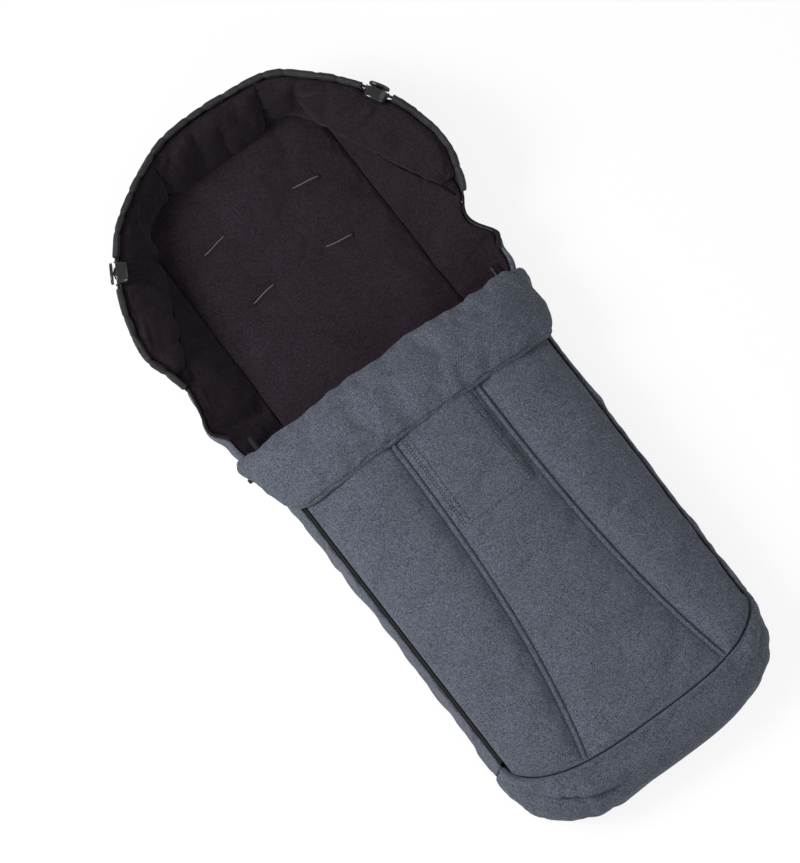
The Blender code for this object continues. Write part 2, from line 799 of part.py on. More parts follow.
def make_back():
    panel = place_mesh("back_panel", prism(around("back"), 0, BACK_THICKNESS), nylon())
    wadding = material("white_wadding", WADDING, 0.95)
    padding = place_mesh(
        "back_padding", prism(around("back", PADDING_INSET), BACK_TOP, PADDING_TOP), wadding
    )
    pad = make_seat_pad()
    edges = [guide_point("pad", p) for p in pad_rows()]
    middle = (edges[0].y + edges[-1].y) / 2
    reach = (edges[-1].y - edges[0].y) / 2
    over = PAD_TOP + PAD_CROWN + CUT_OVERRUN
    for name, (x, y, slant) in slot_places().items():
        opening = slot_outline(x, y, slant, SLOT_WALL + GAP)
        tool = place_mesh("slot_cutter_" + name, prism(opening, -CUT_OVERRUN, over), wadding)
        for obj in (panel, padding, pad):
            cut(obj, tool)
        top = pad_height(abs(x) / PAD_HALF_WIDTH, (y - middle) / reach) + SLOT_RISE
        outer = slot_outline(x, y, slant, SLOT_WALL)
        inner = slot_outline(x, y, slant, 0)
        bm = tube_between(outer, inner, BACK_THICKNESS / 2, top)
        place_mesh("harness_slot_binding_" + name, bm, nylon())


def tube_between(outer, inner, low, high):
    """An upright sleeve between two outlines."""
    bm = bmesh.new()
    rings = []
    for outline, height in ((outer, low), (outer, high), (inner, high), (inner, low)):
        rings.append([bm.verts.new((p[0], p[1], height)) for p in outline])
    count = len(outer)
    for a, b in zip(rings, rings[1:] + rings[:1]):
        for k in range(count):
            n = (k + 1) % count
            bm.faces.new((a[k], a[n], b[n], b[k]))
    return bm


# Cover, patch and cuff


def cover_pivot():
    return arch(0, seam_y(0))[0]


def cover_point(across, share, depth, toe_gap):
    start = seam_y(across) + toe_gap
    point, normal = arch(across, lerp(start, MOUTH_Y, share))
    return point - normal * depth


def cloth_depth(distance):
    """Thickness of the cover, thin beside the zip and padded further in."""
    depths = (CLOTH, CLOTH * 1.5, COVER_THICKNESS * 0.8, COVER_THICKNESS)
    return float(np.interp(distance, EDGE_COLUMNS, depths))


def lining_top(distance):
    """How deep the cover's lining starts: under the zip tape, then under the padding."""
    under_tape = TAPE_DEPTH + TAPE_DROP + TAPE_THICKNESS + 3 * GAP
    return max(under_tape, cloth_depth(distance) + 2 * GAP)


def side_columns(share, first):
    """Columns of the cover's right side, from seam to zip, each with its distance from the zip."""
    start, end = seam_across(share), edge_across(EDGE_COLUMNS[-1])
    columns = [(lerp(start, end, k / 3), EDGE_COLUMNS[-1]) for k in range(4)]
    columns += [(edge_across(d), d) for d in EDGE_COLUMNS[-2::-1]]
    columns.append((edge_across(first), first))
    return columns


def make_cover():
    outer, inner = [], []
    for share in COVER_ROW_SHARES:
        edge = seam_across(share) - SEAM_GAP / 2 / COVER_TOP_PULL
        near = edge - 2 * SEAM_TUCK / COVER_TOP_PULL
        columns = [(-edge, SEAM_TUCK)]
        columns += [(near * k / 3, 0) for k in range(-3, 4)]
        columns += [(edge, SEAM_TUCK)]
        outer.append([cover_point(a, share, tuck, COVER_TOE_GAP) for a, tuck in columns])
        inner.append([cover_point(a, share, COVER_THICKNESS, COVER_TOE_GAP) for a, _ in columns])
    place_mesh("cover_centre_panel", shell(outer, inner), softshell(), cover_pivot())

    outer, inner = [], []
    for share in COVER_ROW_SHARES:
        columns = side_columns(share, CLOTH_SET_BACK)
        edge = columns[0][0] + SEAM_GAP / 2 / COVER_TOP_PULL
        near = edge + 2 * SEAM_TUCK / COVER_TOP_PULL
        columns = [(edge, columns[0][1], SEAM_TUCK), (near, columns[0][1], 0)] + [
            (a, d, 0) for a, d in columns[1:]
        ]
        outer.append([cover_point(a, share, tuck, COVER_TOE_GAP) for a, _, tuck in columns])
        inner.append([cover_point(a, share, cloth_depth(d), COVER_TOE_GAP) for a, d, _ in columns])
    right = place_mesh("cover_side_panel_right", shell(outer, inner), softshell(), cover_pivot())
    mirror_mesh(right, "cover_side_panel_left")

    outer, inner = [], []
    for share in COVER_ROW_SHARES:
        seam = seam_across(share)
        right_half = [(seam * k / 3, EDGE_COLUMNS[-1]) for k in range(3)]
        right_half += side_columns(share, LINING_SET_BACK)
        columns = [(-a, d) for a, d in reversed(right_half[1:])] + right_half
        tops = [lining_top(d) for _, d in columns]
        outer.append(
            [cover_point(a, share, t, COVER_LINING_TOE_GAP) for (a, _), t in zip(columns, tops)]
        )
        inner.append(
            [
                cover_point(a, share, t + COVER_LINING_THICKNESS, COVER_LINING_TOE_GAP)
                for (a, _), t in zip(columns, tops)
            ]
        )
    place_mesh("cover_lining", shell(outer, inner), fleece(), cover_pivot())


def raised(across, y, height):
    point, normal = arch(across, y)
    return point + normal * height


def make_patch():
    columns = [PATCH_HALF_WIDTH_SHARE * k / 3 for k in range(-3, 4)]
    rows = [lerp(PATCH_FOOT_Y, MOUTH_Y - CLOTH, k / 6) for k in range(7)]
    low = [[raised(a, y, GAP) for a in columns] for y in rows]
    high = [[raised(a, y, GAP + PATCH_THICKNESS) for a in columns] for y in rows]
    place_mesh("pocket_patch", shell(high, low), softshell(), cover_pivot())


def cuff_layer(name, low, high, finish, crown):
    """One layer of the turned-down cuff, between two heights over the cover."""
    reach = 1 + CUFF_WRAP / COVER_EDGE_PULL
    steps = 8
    columns = [reach * k / steps for k in range(-steps, steps + 1)]
    tops, bottoms = [], []
    for share in CUFF_ROW_SHARES:
        top_row, bottom_row = [], []
        for a in columns:
            end = abs(a) / reach
            free = CUFF_FREE_Y + CUFF_END_RISE * end**6
            head = MOUTH_Y + CUFF_HEAD_RISE * end**4
            y = lerp(free, head, share)
            stand_off = lerp(CUFF_STAND_OFF, CUFF_SIDE_STAND_OFF, end**2)
            puff = 1 - (2 * share - 1) ** 6
            puff = puff * (1 - crown * end**16) + (1 - puff) * (1 - crown)
            bottom_row.append(raised(a, y, stand_off + low))
            top_row.append(raised(a, y, stand_off + low + (high - low) * puff))
        tops.append(top_row)
        bottoms.append(bottom_row)
    return place_mesh(name, shell(tops, bottoms), finish, raised(0, MOUTH_Y, CUFF_STAND_OFF))


def make_cuff():
    face_low = CUFF_BACK_THICKNESS + GAP
    cuff_layer("cuff_back", 0, CUFF_BACK_THICKNESS, softshell(), 0)
    cuff_layer("cuff_face", face_low, face_low + CUFF_FACE_THICKNESS, softshell(), CUFF_CROWN_SHARE)


# Zips


def zip_point(y, across, depth):
    """A point by its distance from the zip's middle, towards the cover, and its depth below the cloth."""
    _, toward_cover, out = zip_axes()
    return zip_line(y) + toward_cover * across - out * depth


def zip_half(name, side, foot_y, head_y):
    """Tape and teeth of one half: side is 1 for the cover's half and -1 for the base's."""
    near, root = side * CHAIN_HALF_GAP, side * (CHAIN_HALF_GAP + TOOTH_REACH)
    flat, far = side * TAPE_FLAT, side * TAPE_WIDTH
    under = TAPE_DEPTH + TAPE_THICKNESS
    far_under = under + TAPE_DROP
    pitch_count = int((head_y - foot_y) / TOOTH_PITCH)
    shift = TOOTH_PITCH / 2 if side > 0 else 0
    marks = []
    for k in range(pitch_count):
        start = foot_y + (TOOTH_PITCH - TOOTH_LENGTH) / 2 + k * TOOTH_PITCH + shift
        if start + TOOTH_LENGTH < head_y:
            marks += [(start, True), (start + TOOTH_LENGTH, False)]
    stations = [(foot_y, False)] + marks + [(head_y, False)]
    bm = bmesh.new()

    def vert(y, across, depth):
        return bm.verts.new(zip_point(y, across, depth))

    rows = []
    for y, _ in stations:
        rows.append(
            {
                "near_top": vert(y, near, TAPE_DEPTH),
                "flat_top": vert(y, flat, TAPE_DEPTH),
                "far_top": vert(y, far, TAPE_DEPTH + TAPE_DROP),
                "far_under": vert(y, far, far_under),
                "root_under": vert(y, root, under),
                "near_under": vert(y, near, under),
            }
        )
    for row, (y, _) in zip(rows[1:-1], marks):
        row["root_tooth"] = vert(y, root, under + TOOTH_HEIGHT)
        row["near_tooth"] = vert(y, near, under + TOOTH_HEIGHT)
    tape = ("near_top", "flat_top", "far_top", "far_under", "root_under")
    for a, b, (_, toothed) in zip(rows, rows[1:], stations):
        for here, there in zip(tape, tape[1:]):
            bm.faces.new((a[here], a[there], b[there], b[here]))
        bm.faces.new((a["near_top"], a["near_under"], b["near_under"], b["near_top"]))
        if toothed:
            loop = ("root_under", "root_tooth", "near_tooth", "near_under")
            for here, there in zip(loop, loop[1:]):
                bm.faces.new((a[here], a[there], b[there], b[here]))
            bm.faces.new([a[key] for key in loop])
            bm.faces.new([b[key] for key in loop])
        else:
            bm.faces.new((a["root_under"], a["near_under"], b["near_under"], b["root_under"]))
    ends = ("near_top", "flat_top", "far_top", "far_under", "root_under", "near_under")
    bm.faces.new([rows[0][key] for key in ends])
    bm.faces.new([rows[-1][key] for key in ends])
    return place_mesh(name, bm, material("black_zip", BLACK_TAPE, 0.6), smooth=False)


def zip_frame(place_y):
    """Local axes at a place on the right zip: along it, across it and out of it."""
    along, across, out = zip_axes()
    frame = Matrix((along, across, out)).transposed().to_4x4()
    frame.translation = zip_line(place_y)
    return frame


def make_slider():
    """A slider whose post runs between the rows of teeth, and the lug that carries its pull."""
    frame = zip_frame(SLIDER_Y)
    top = TAPE_DEPTH - SLIDER_CLEARANCE
    top_face = top - SLIDER_PLATE
    plate = TAPE_DEPTH + TAPE_THICKNESS + TOOTH_HEIGHT + SLIDER_CLEARANCE
    bottom = plate + SLIDER_PLATE
    flange = plate - SLIDER_FLANGE_RISE
    inner = SLIDER_HALF_WIDTH - SLIDER_FLANGE
    bevel = SLIDER_PLATE / 3
    half = [
        (SLIDER_TOP_HALF_WIDTH - bevel, top_face),
        (SLIDER_TOP_HALF_WIDTH, top_face + bevel),
        (SLIDER_TOP_HALF_WIDTH, top),
        (SLIDER_POST_HALF, top),
        (SLIDER_POST_HALF, plate),
        (inner, plate),
        (inner, flange),
        (SLIDER_HALF_WIDTH, flange),
        (SLIDER_HALF_WIDTH, bottom - bevel),
        (SLIDER_HALF_WIDTH - bevel, bottom),
    ]
    profile = half + [(-w, depth) for w, depth in reversed(half)]
    end_scale = 0.92
    stations = (
        (-SLIDER_LENGTH / 2, end_scale),
        (-SLIDER_LENGTH / 2 + SLIDER_PLATE, 1),
        (SLIDER_LENGTH / 2 - SLIDER_PLATE, 1),
        (SLIDER_LENGTH / 2, end_scale),
    )
    sections = [[frame @ Vector((u, w * s, -depth)) for w, depth in profile] for u, s in stations]
    finish = material("gunmetal", DARK_METAL, 0.35, 1.0)
    body = place_mesh("zip_slider_right", loft(sections), finish, frame.translation, smooth=False)

    sunk = top_face + SLIDER_PLATE / 2
    ceiling = top_face - LUG_WINDOW_HEIGHT
    half = [
        (LUG_WINDOW_HALF, sunk),
        (LUG_WINDOW_HALF, ceiling),
        (LUG_WINDOW_HALF + LUG_BAR, ceiling),
        (LUG_WINDOW_HALF + LUG_BAR, sunk),
    ]
    roof = [(-LUG_WINDOW_HALF, ceiling - LUG_BAR), (LUG_WINDOW_HALF, ceiling - LUG_BAR)]
    left = [(-w, depth) for w, depth in half]
    outline = [left[3], left[2]] + roof + [half[2], half[3], half[0], half[1], left[1], left[0]]
    sections = [
        [frame @ Vector((LUG_PLACE + u, w, -depth)) for w, depth in outline]
        for u in (-LUG_HALF_WIDTH, LUG_HALF_WIDTH)
    ]
    lug = place_mesh("lug_tool_right", loft(sections), finish, frame.translation, smooth=False)
    return body, lug, top_face


def make_pull(top_face):
    """The pull: a woven tab with an eye round the slider's lug, lying outwards over the side wall."""
    frame = zip_frame(SLIDER_Y)
    middle = top_face - LUG_WINDOW_HEIGHT / 2
    half = PULL_THICKNESS / 2
    path = [(half, -middle), (-half, -middle)]
    path.append((-half - PULL_EYE_LENGTH, lerp(-middle, PULL_RISE, PULL_EYE_LENGTH / PULL_RUN)))
    path.append((-PULL_RUN, PULL_RISE))
    path = [frame @ Vector((LUG_PLACE, w, rise)) for w, rise in path]
    outwards = Vector((PULL_TIP, 0, 0))
    path += [path[-1] + outwards * share for share in PULL_TIP_SHARES]
    along, _, _ = zip_axes()
    widths = [PULL_HALF_WIDTH * share for share in PULL_WIDTH_SHARES]
    levels = []
    bm = bmesh.new()
    for side in (1, -1):
        verts = []
        for k, (point, width) in enumerate(zip(path, widths)):
            before, after = path[max(k - 1, 0)], path[min(k + 1, len(path) - 1)]
            normal = along.cross(before - after).normalized()
            across = (-width, -PULL_EYE_HALF_WIDTH, PULL_EYE_HALF_WIDTH, width)
            verts.append([bm.verts.new(point + along * v + normal * half * side) for v in across])
        levels.append(verts)
    rows = len(path)
    for grid in levels:
        for r in range(rows - 1):
            for c in range(3):
                if (r, c) != (1, 1):
                    bm.faces.new((grid[r][c], grid[r][c + 1], grid[r + 1][c + 1], grid[r + 1][c]))
    a, b = levels
    for r in range(rows - 1):
        for c in (0, 3):
            bm.faces.new((a[r][c], a[r + 1][c], b[r + 1][c], b[r][c]))
    for c in range(3):
        for r in (0, rows - 1):
            bm.faces.new((a[r][c], a[r][c + 1], b[r][c + 1], b[r][c]))
    for r, c, s, d in ((1, 1, 1, 2), (1, 2, 2, 2), (2, 2, 2, 1), (2, 1, 1, 1)):
        bm.faces.new((a[r][c], a[s][d], b[s][d], b[r][c]))
    pivot = frame @ Vector((LUG_PLACE, 0, -middle))
    finish = material("black_webbing", BLACK_TAPE, 0.8)
    return place_mesh("zip_pull_right", bm, finish, pivot, smooth=False)


def make_zips():
    foot = ZIP_FOOT_Y + TAPE_FOOT_GAP
    parked = SLIDER_Y - SLIDER_LENGTH / 2 - TAPE_FOOT_GAP
    base = zip_half("base_zip_right", -1, foot, ZIP_HEAD_Y - TAPE_FOOT_GAP)
    mirror_mesh(base, "base_zip_left")
    cover = zip_half("cover_zip_right", 1, foot, parked)
    mirror_mesh(cover, "cover_zip_left")
    slider, lug, top_face = make_slider()
    left_slider = mirror_mesh(slider, "zip_slider_left")
    left_lug = mirror_mesh(lug, "lug_tool_left")
    cut(slider, lug, "UNION")
    cut(left_slider, left_lug, "UNION")
    pull = make_pull(top_face)
    mirror_mesh(pull, "zip_pull_left")


# Hood's rim: tunnel, drawcord and cord locks


def rim_frames(places):
    frames = []
    for place in places:
        step = PLACE_STEP_SHARE
        forward = guide_point("rim", place + step) - guide_point("rim", place - step)
        forward.normalize()
        side = forward.cross(Vector((0, 0, 1))).normalized()
        frames.append((guide_point("rim", place), side, side.cross(forward)))
    return frames


def ring(frame, radius, sides=TUBE_SIDES):
    centre, side, up = frame
    points = []
    for k in range(sides):
        angle = 2 * math.pi * (k + 0.5) / sides
        points.append(centre + (side * math.cos(angle) + up * math.sin(angle)) * radius)
    return points


def place_at_distance(place, distance):
    """The place on the rim this far along it from another."""
    here = place
    direction = math.copysign(1, distance)
    left = abs(distance)
    step = PLACE_STEP_SHARE * 5
    while left > 0:
        move = (guide_point("rim", here + direction * step) - guide_point("rim", here)).length
        if move >= left:
            return here + direction * step * left / move
        left -= move
        here += direction * step
    return here


def tunnel(name, places):
    bm = bmesh.new()
    outer, inner = [], []
    for frame in rim_frames(places):
        outer.append([bm.verts.new(p) for p in ring(frame, TUNNEL_RADIUS)])
        inner.append([bm.verts.new(p) for p in ring(frame, TUNNEL_BORE)])
    for rings in (outer, inner):
        for a, b in zip(rings, rings[1:]):
            for k in range(TUBE_SIDES):
                n = (k + 1) % TUBE_SIDES
                bm.faces.new((a[k], a[n], b[n], b[k]))
    for a, b in ((outer[0], inner[0]), (outer[-1], inner[-1])):
        for k in range(TUBE_SIDES):
            n = (k + 1) % TUBE_SIDES
            bm.faces.new((a[k], a[n], b[n], b[k]))
    return place_mesh(name, bm, nylon())


def make_rim():
    lock = (LOCK_FOOT + LOCK_HEAD) / 2
    first = NOTCH + TUNNEL_FOOT_SHARE
    before, after = place_at_distance(lock, -LOCK_GAP), place_at_distance(lock, LOCK_GAP)
    side = edge_places(first, before, 4)
    right = tunnel("rim_tunnel_right", side)
    mirror_mesh(right, "rim_tunnel_left")
    half = edge_places(after, HEAD_MIDDLE, 3)
    centre = half + [2 * HEAD_MIDDLE - p for p in reversed(half[:-1])]
    tunnel("rim_tunnel_centre", centre)
    inside = [first + TUNNEL_FOOT_SHARE / 2] + side[1:] + half
    whole = inside + [2 * HEAD_MIDDLE - p for p in reversed(inside[:-1])]
    cord = loft([ring(frame, CORD_RADIUS, CORD_SIDES) for frame in rim_frames(whole)])
    place_mesh("drawcord", cord, material("black_cord", NYLON, 0.8))


def lock_frame():
    """Axes of the right cord lock: out of the hood, along the cord and up."""
    lock = (LOCK_FOOT + LOCK_HEAD) / 2
    along = (guide_point("rim", LOCK_HEAD) - guide_point("rim", LOCK_FOOT)).normalized()
    out = along.cross(Vector((0, 0, 1))).normalized()
    frame = Matrix((out, along, out.cross(along))).transposed().to_4x4()
    frame.translation = guide_point("rim", lock)
    return frame


def lock_loft(frame, stations, power=2.6, count=20):
    """A solid through ovals across the lock's axis: rows of depth, half length and half height."""
    sections = []
    for depth, half_length, half_height in stations:
        outline = oval(half_length, half_height, count, power)
        sections.append([frame @ Vector((depth, t, u)) for t, u in outline])
    return loft(sections)


def make_lock():
    frame = lock_frame()
    origin = frame.translation
    shoulder = LOCK_WALL
    body = place_mesh(
        "cord_lock_body_right",
        lock_loft(
            frame,
            (
                (-LOCK_INNER, LOCK_HALF_LENGTH - 2 * shoulder, LOCK_HALF_HEIGHT - shoulder),
                (-LOCK_INNER + shoulder, LOCK_HALF_LENGTH - shoulder, LOCK_HALF_HEIGHT),
                (LOCK_OUTER - shoulder, LOCK_HALF_LENGTH, LOCK_HALF_HEIGHT),
                (LOCK_OUTER, LOCK_HALF_LENGTH - shoulder / 2, LOCK_HALF_HEIGHT - shoulder / 2),
            ),
        ),
        plastic(),
        origin,
    )
    pocket = place_mesh(
        "pocket_tool_right",
        lock_loft(
            frame,
            (
                (-LOCK_INNER + LOCK_WALL, PLUNGER_HALF_LENGTH + GAP, PLUNGER_HALF_HEIGHT + GAP),
                (LOCK_OUTER + CUT_OVERRUN, PLUNGER_HALF_LENGTH + GAP, PLUNGER_HALF_HEIGHT + GAP),
            ),
        ),
        plastic(),
        origin,
    )
    reach = LOCK_HALF_LENGTH + CUT_OVERRUN
    circle = oval(LOCK_BORE, LOCK_BORE, 12, 2)
    bore_sections = [[frame @ Vector((d, t, u)) for d, u in circle] for t in (-reach, reach)]
    bore = place_mesh("bore_tool_right", loft(bore_sections), plastic(), origin)
    head_low = LOCK_OUTER + BUTTON_TRAVEL + GAP
    head_round = BUTTON_THICKNESS / 4
    button = place_mesh(
        "cord_lock_button_right",
        lock_loft(
            frame,
            (
                (-PLUNGER_INNER, PLUNGER_HALF_LENGTH, PLUNGER_HALF_HEIGHT),
                (head_low, PLUNGER_HALF_LENGTH, PLUNGER_HALF_HEIGHT),
                (head_low + GAP, BUTTON_HALF_LENGTH, BUTTON_HALF_HEIGHT),
                (head_low + BUTTON_THICKNESS - head_round, BUTTON_HALF_LENGTH, BUTTON_HALF_HEIGHT),
                (
                    head_low + BUTTON_THICKNESS,
                    BUTTON_HALF_LENGTH - head_round,
                    BUTTON_HALF_HEIGHT - head_round,
                ),
            ),
        ),
        plastic(),
        origin,
    )
    slot_low = -CORD_RADIUS - GAP
    slot_high = CORD_RADIUS + BUTTON_TRAVEL + GAP
    slot_half = LOCK_BORE
    corners = [
        (slot_low, -slot_half),
        (slot_high, -slot_half),
        (slot_high, slot_half),
        (slot_low, slot_half),
    ]
    slot_sections = [[frame @ Vector((d, t, u)) for d, u in corners] for t in (-reach, reach)]
    slot = place_mesh("cord_slot_tool_right", loft(slot_sections), plastic(), origin, smooth=False)
    tools = {body: (pocket, bore), button: (slot,)}
    for obj, cutters in tools.items():
        left = mirror_mesh(obj, obj.name.replace("right", "left"))
        for tool in cutters:
            cut(left, mirror_mesh(tool, tool.name.replace("right", "left")))
            cut(obj, tool)
    make_spring(frame)


def make_spring(frame):
    """The button's return spring, wound as one wire and as short as it is under the pressed button."""
    start = -LOCK_INNER + LOCK_WALL + GAP + SPRING_WIRE
    end = -PLUNGER_INNER - BUTTON_TRAVEL - GAP - SPRING_WIRE
    steps_per_turn = 10
    count = SPRING_TURNS * steps_per_turn
    sections = []
    for k in range(count + 1):
        angle = 2 * math.pi * k / steps_per_turn
        depth = lerp(start, end, k / count)
        centre = Vector((depth, SPRING_RADIUS * math.cos(angle), SPRING_RADIUS * math.sin(angle)))
        radial = Vector((0, math.cos(angle), math.sin(angle)))
        axial = Vector((1, 0, 0))
        section = []
        for side in range(5):
            turn = 2 * math.pi * side / 5
            offset = radial * math.cos(turn) + axial * math.sin(turn)
            section.append(frame @ (centre + offset * SPRING_WIRE))
        sections.append(section)
    steel = material("spring_steel", DARK_METAL, 0.3, 1.0)
    right = place_mesh("cord_lock_spring_right", loft(sections), steel, frame.translation)
    mirror_mesh(right, "cord_lock_spring_left")


def main():
    clear_scene()
    make_back()
    make_walls()
    make_linings()
    make_cover()
    make_patch()
    make_cuff()
    make_zips()
    make_rim()
    make_lock()


main()
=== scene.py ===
"""Looks of a padded stroller footmuff, dressed over its frame.

The muff lies on its back, X across it, +Y towards the head, +Z up, in metres. Its wall is one
surface: at each place along the edge a curve rises from the back panel over a bulge to the top
line, where the zips, the toe seam and the hood's cord run. The cover and its lining, the cuff, the
walls, the toe cap, the hood's panels, their linings and the pad are fine grids on that wall or on
the arch of the cover, filled by a short cloth simulation between their seams. The patch, the cord
tunnels and the trims are shaped without one, and the back, the wadding, the sliders and their pulls
keep the frame's own shape.
"""

import math

import bpy
import numpy as np
from mathutils import Matrix, Vector, noise


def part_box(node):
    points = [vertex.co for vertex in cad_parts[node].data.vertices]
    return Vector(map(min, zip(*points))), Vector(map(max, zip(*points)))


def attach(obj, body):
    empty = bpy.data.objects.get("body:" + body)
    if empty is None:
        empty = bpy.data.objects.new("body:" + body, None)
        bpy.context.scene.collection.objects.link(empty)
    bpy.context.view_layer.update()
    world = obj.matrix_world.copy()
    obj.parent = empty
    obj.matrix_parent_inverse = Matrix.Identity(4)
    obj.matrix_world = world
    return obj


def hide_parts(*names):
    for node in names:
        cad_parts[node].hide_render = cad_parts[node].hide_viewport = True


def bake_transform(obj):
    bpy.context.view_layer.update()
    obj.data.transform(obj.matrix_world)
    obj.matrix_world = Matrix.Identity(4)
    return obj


bl_info = {
    "name": "Stroller Footmuff Looks",
    "version": (1, 0, 0),
    "blender": (4, 5, 0),
    "location": "3D View > Sidebar > Footmuff",
    "description": "Cloth, zips, cord locks and studio for a padded stroller footmuff",
    "category": "Object",
}

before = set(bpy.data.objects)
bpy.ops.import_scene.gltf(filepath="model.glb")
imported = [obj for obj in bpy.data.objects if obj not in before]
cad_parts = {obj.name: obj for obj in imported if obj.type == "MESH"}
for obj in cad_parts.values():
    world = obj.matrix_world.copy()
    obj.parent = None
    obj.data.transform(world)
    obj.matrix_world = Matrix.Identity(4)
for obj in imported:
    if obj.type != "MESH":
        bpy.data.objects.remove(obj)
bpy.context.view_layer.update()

# The picture's size in pixels, and its pixels to the metre at the muff
PICTURE_SIZE, PICTURE_SCALE = (800, 863), 814

# The frame's own measures, in metres
LENGTH = 1.0
HALF_WIDTH = 0.229
RIM_HEIGHT = 0.112
GAP = 0.0003
BACK_THICKNESS = 0.003
PADDING_THICKNESS = 0.0097
PAD_THICKNESS = 0.0147
PAD_CROWN = 0.006
PAD_HALF_WIDTH = 0.598 * HALF_WIDTH
PAD_EDGE_ROUND = 0.004
BACK_TOP = BACK_THICKNESS + GAP
PADDING_TOP = BACK_TOP + PADDING_THICKNESS
PAD_BOTTOM = PADDING_TOP + GAP
PAD_TOP = PAD_BOTTOM + PAD_THICKNESS
CLOTH = 0.003
LINING_GAP = 0.0012
LINING_TOP_THICKNESS = 0.0055
LINING_SWELL = 0.004
ZIP_FOOT_Y, ZIP_HEAD_Y = -0.385 * LENGTH, 0.136 * LENGTH
ZIP_FOOT_X, ZIP_HEAD_X = 0.79 * HALF_WIDTH, 0.814 * HALF_WIDTH
ZIP_FOOT_Z, ZIP_HEAD_Z = 0.554 * RIM_HEIGHT, 0.609 * RIM_HEIGHT
ZIP_SLOPE = math.radians(52)
BULGE_REACH = 0.0356
BACK_FOOT_X, BACK_HEAD_X = 0.786 * HALF_WIDTH, 0.812 * HALF_WIDTH
TOE_BACK_DEPTH = 0.101 * LENGTH
TOE_BULGE_DEPTH = 0.152 * LENGTH
TOE_SEAM_DEPTH = 0.064 * LENGTH
TOE_PAD_DEPTH = 0.085 * LENGTH
TOE_BULGE_Z = 0.518 * RIM_HEIGHT
TOE_BACK_POWER = 3.1
TOE_POWER = 3.2
TOE_BULGE_POWER = 4
MOUTH_Y = 0.107 * LENGTH
MOUTH_HEIGHT = 0.964 * RIM_HEIGHT
TOE_HEIGHT = 0.768 * RIM_HEIGHT
COVER_SWELL = 0.005
COVER_TOP_PULL = 1.087 * HALF_WIDTH
COVER_EDGE_PULL = 0.41 * HALF_WIDTH
COVER_THICKNESS = 0.010
COVER_TOE_GAP = 0.0014
COVER_LINING_TOE_GAP = 0.004
COVER_LINING_THICKNESS = 0.005
SEAM_MOUTH_SHARE = 0.26
SEAM_FLARE_SHARE = 0.20
SEAM_FLARE_POWER = 3.4
PATCH_HALF_WIDTH_SHARE = 0.215
PATCH_FOOT_Y = -0.129 * LENGTH
CUFF_FREE_Y = 0.007 * LENGTH
CUFF_END_RISE = 0.041
CUFF_HEAD_RISE = 0.007
CUFF_WRAP = 0.027
CUFF_STAND_OFF = 0.0018
CUFF_SIDE_STAND_OFF = 0.008
CUFF_THICKNESS = 0.0103
CLOTH_SET_BACK = 0.0045
LINING_SET_BACK = 0.007
RIM_MARGIN = 0.0053
LOCK_MARGIN = 0.0112
TUNNEL_RADIUS = 0.0046
CORD_RADIUS = 0.002
LOCK_GAP = 0.0208
SLOT_LENGTH = 0.038
SLOT_SLANT = math.radians(10)
SLOTS = {
    "upper_left": (-0.306 * HALF_WIDTH, 0.367 * LENGTH, SLOT_SLANT),
    "upper_right": (0.306 * HALF_WIDTH, 0.367 * LENGTH, -SLOT_SLANT),
    "lower_left": (-0.253 * HALF_WIDTH, 0.279 * LENGTH, SLOT_SLANT),
    "lower_right": (0.253 * HALF_WIDTH, 0.279 * LENGTH, -SLOT_SLANT),
    "crotch": (0, 0.08 * LENGTH, 0),
}

# Stations of the wall past the zips, from zip end to head: shares of half width, length and rim height
BACK_SHARES = (
    (0.803, 0.162), (0.769, 0.221), (0.742, 0.300), (0.729, 0.364),
    (0.707, 0.404), (0.638, 0.446), (0.393, 0.476), (0.0, 0.486),
)
BULGE_SHARES = (
    (0.940, 0.162, 0.357), (0.900, 0.221, 0.375), (0.930, 0.298, 0.464), (0.882, 0.364, 0.518),
    (0.808, 0.408, 0.536), (0.699, 0.452, 0.518), (0.410, 0.494, 0.482), (0.0, 0.507, 0.446),
)
RIM_SHARES = (
    (0.925, 0.162, 0.714), (0.891, 0.221, 0.750), (1.0, 0.292, 1.0), (0.917, 0.364, 1.0),
    (0.812, 0.4056, 1.0), (0.655, 0.444, 0.973), (0.371, 0.487, 0.929), (0.0, 0.5005, 0.893),
)
PAD_EDGE_SHARES = (
    (1.0, 0.162), (1.0, 0.221), (1.0, 0.300), (1.0, 0.364),
    (0.997, 0.402), (0.905, 0.444), (0.560, 0.461), (0.0, 0.466),
)
# Places along the edge, from 0 at the toe's middle to 10 at the head's.
# Those below 0 or past 10 lie on the left.
ZIP_FOOT, ZIP_HEAD, NOTCH, LOCK_FOOT, LOCK_HEAD, CORNER, HEAD_SEAM, HEAD_MIDDLE = 1, 2, 4, 6, 7, 8, 9, 10


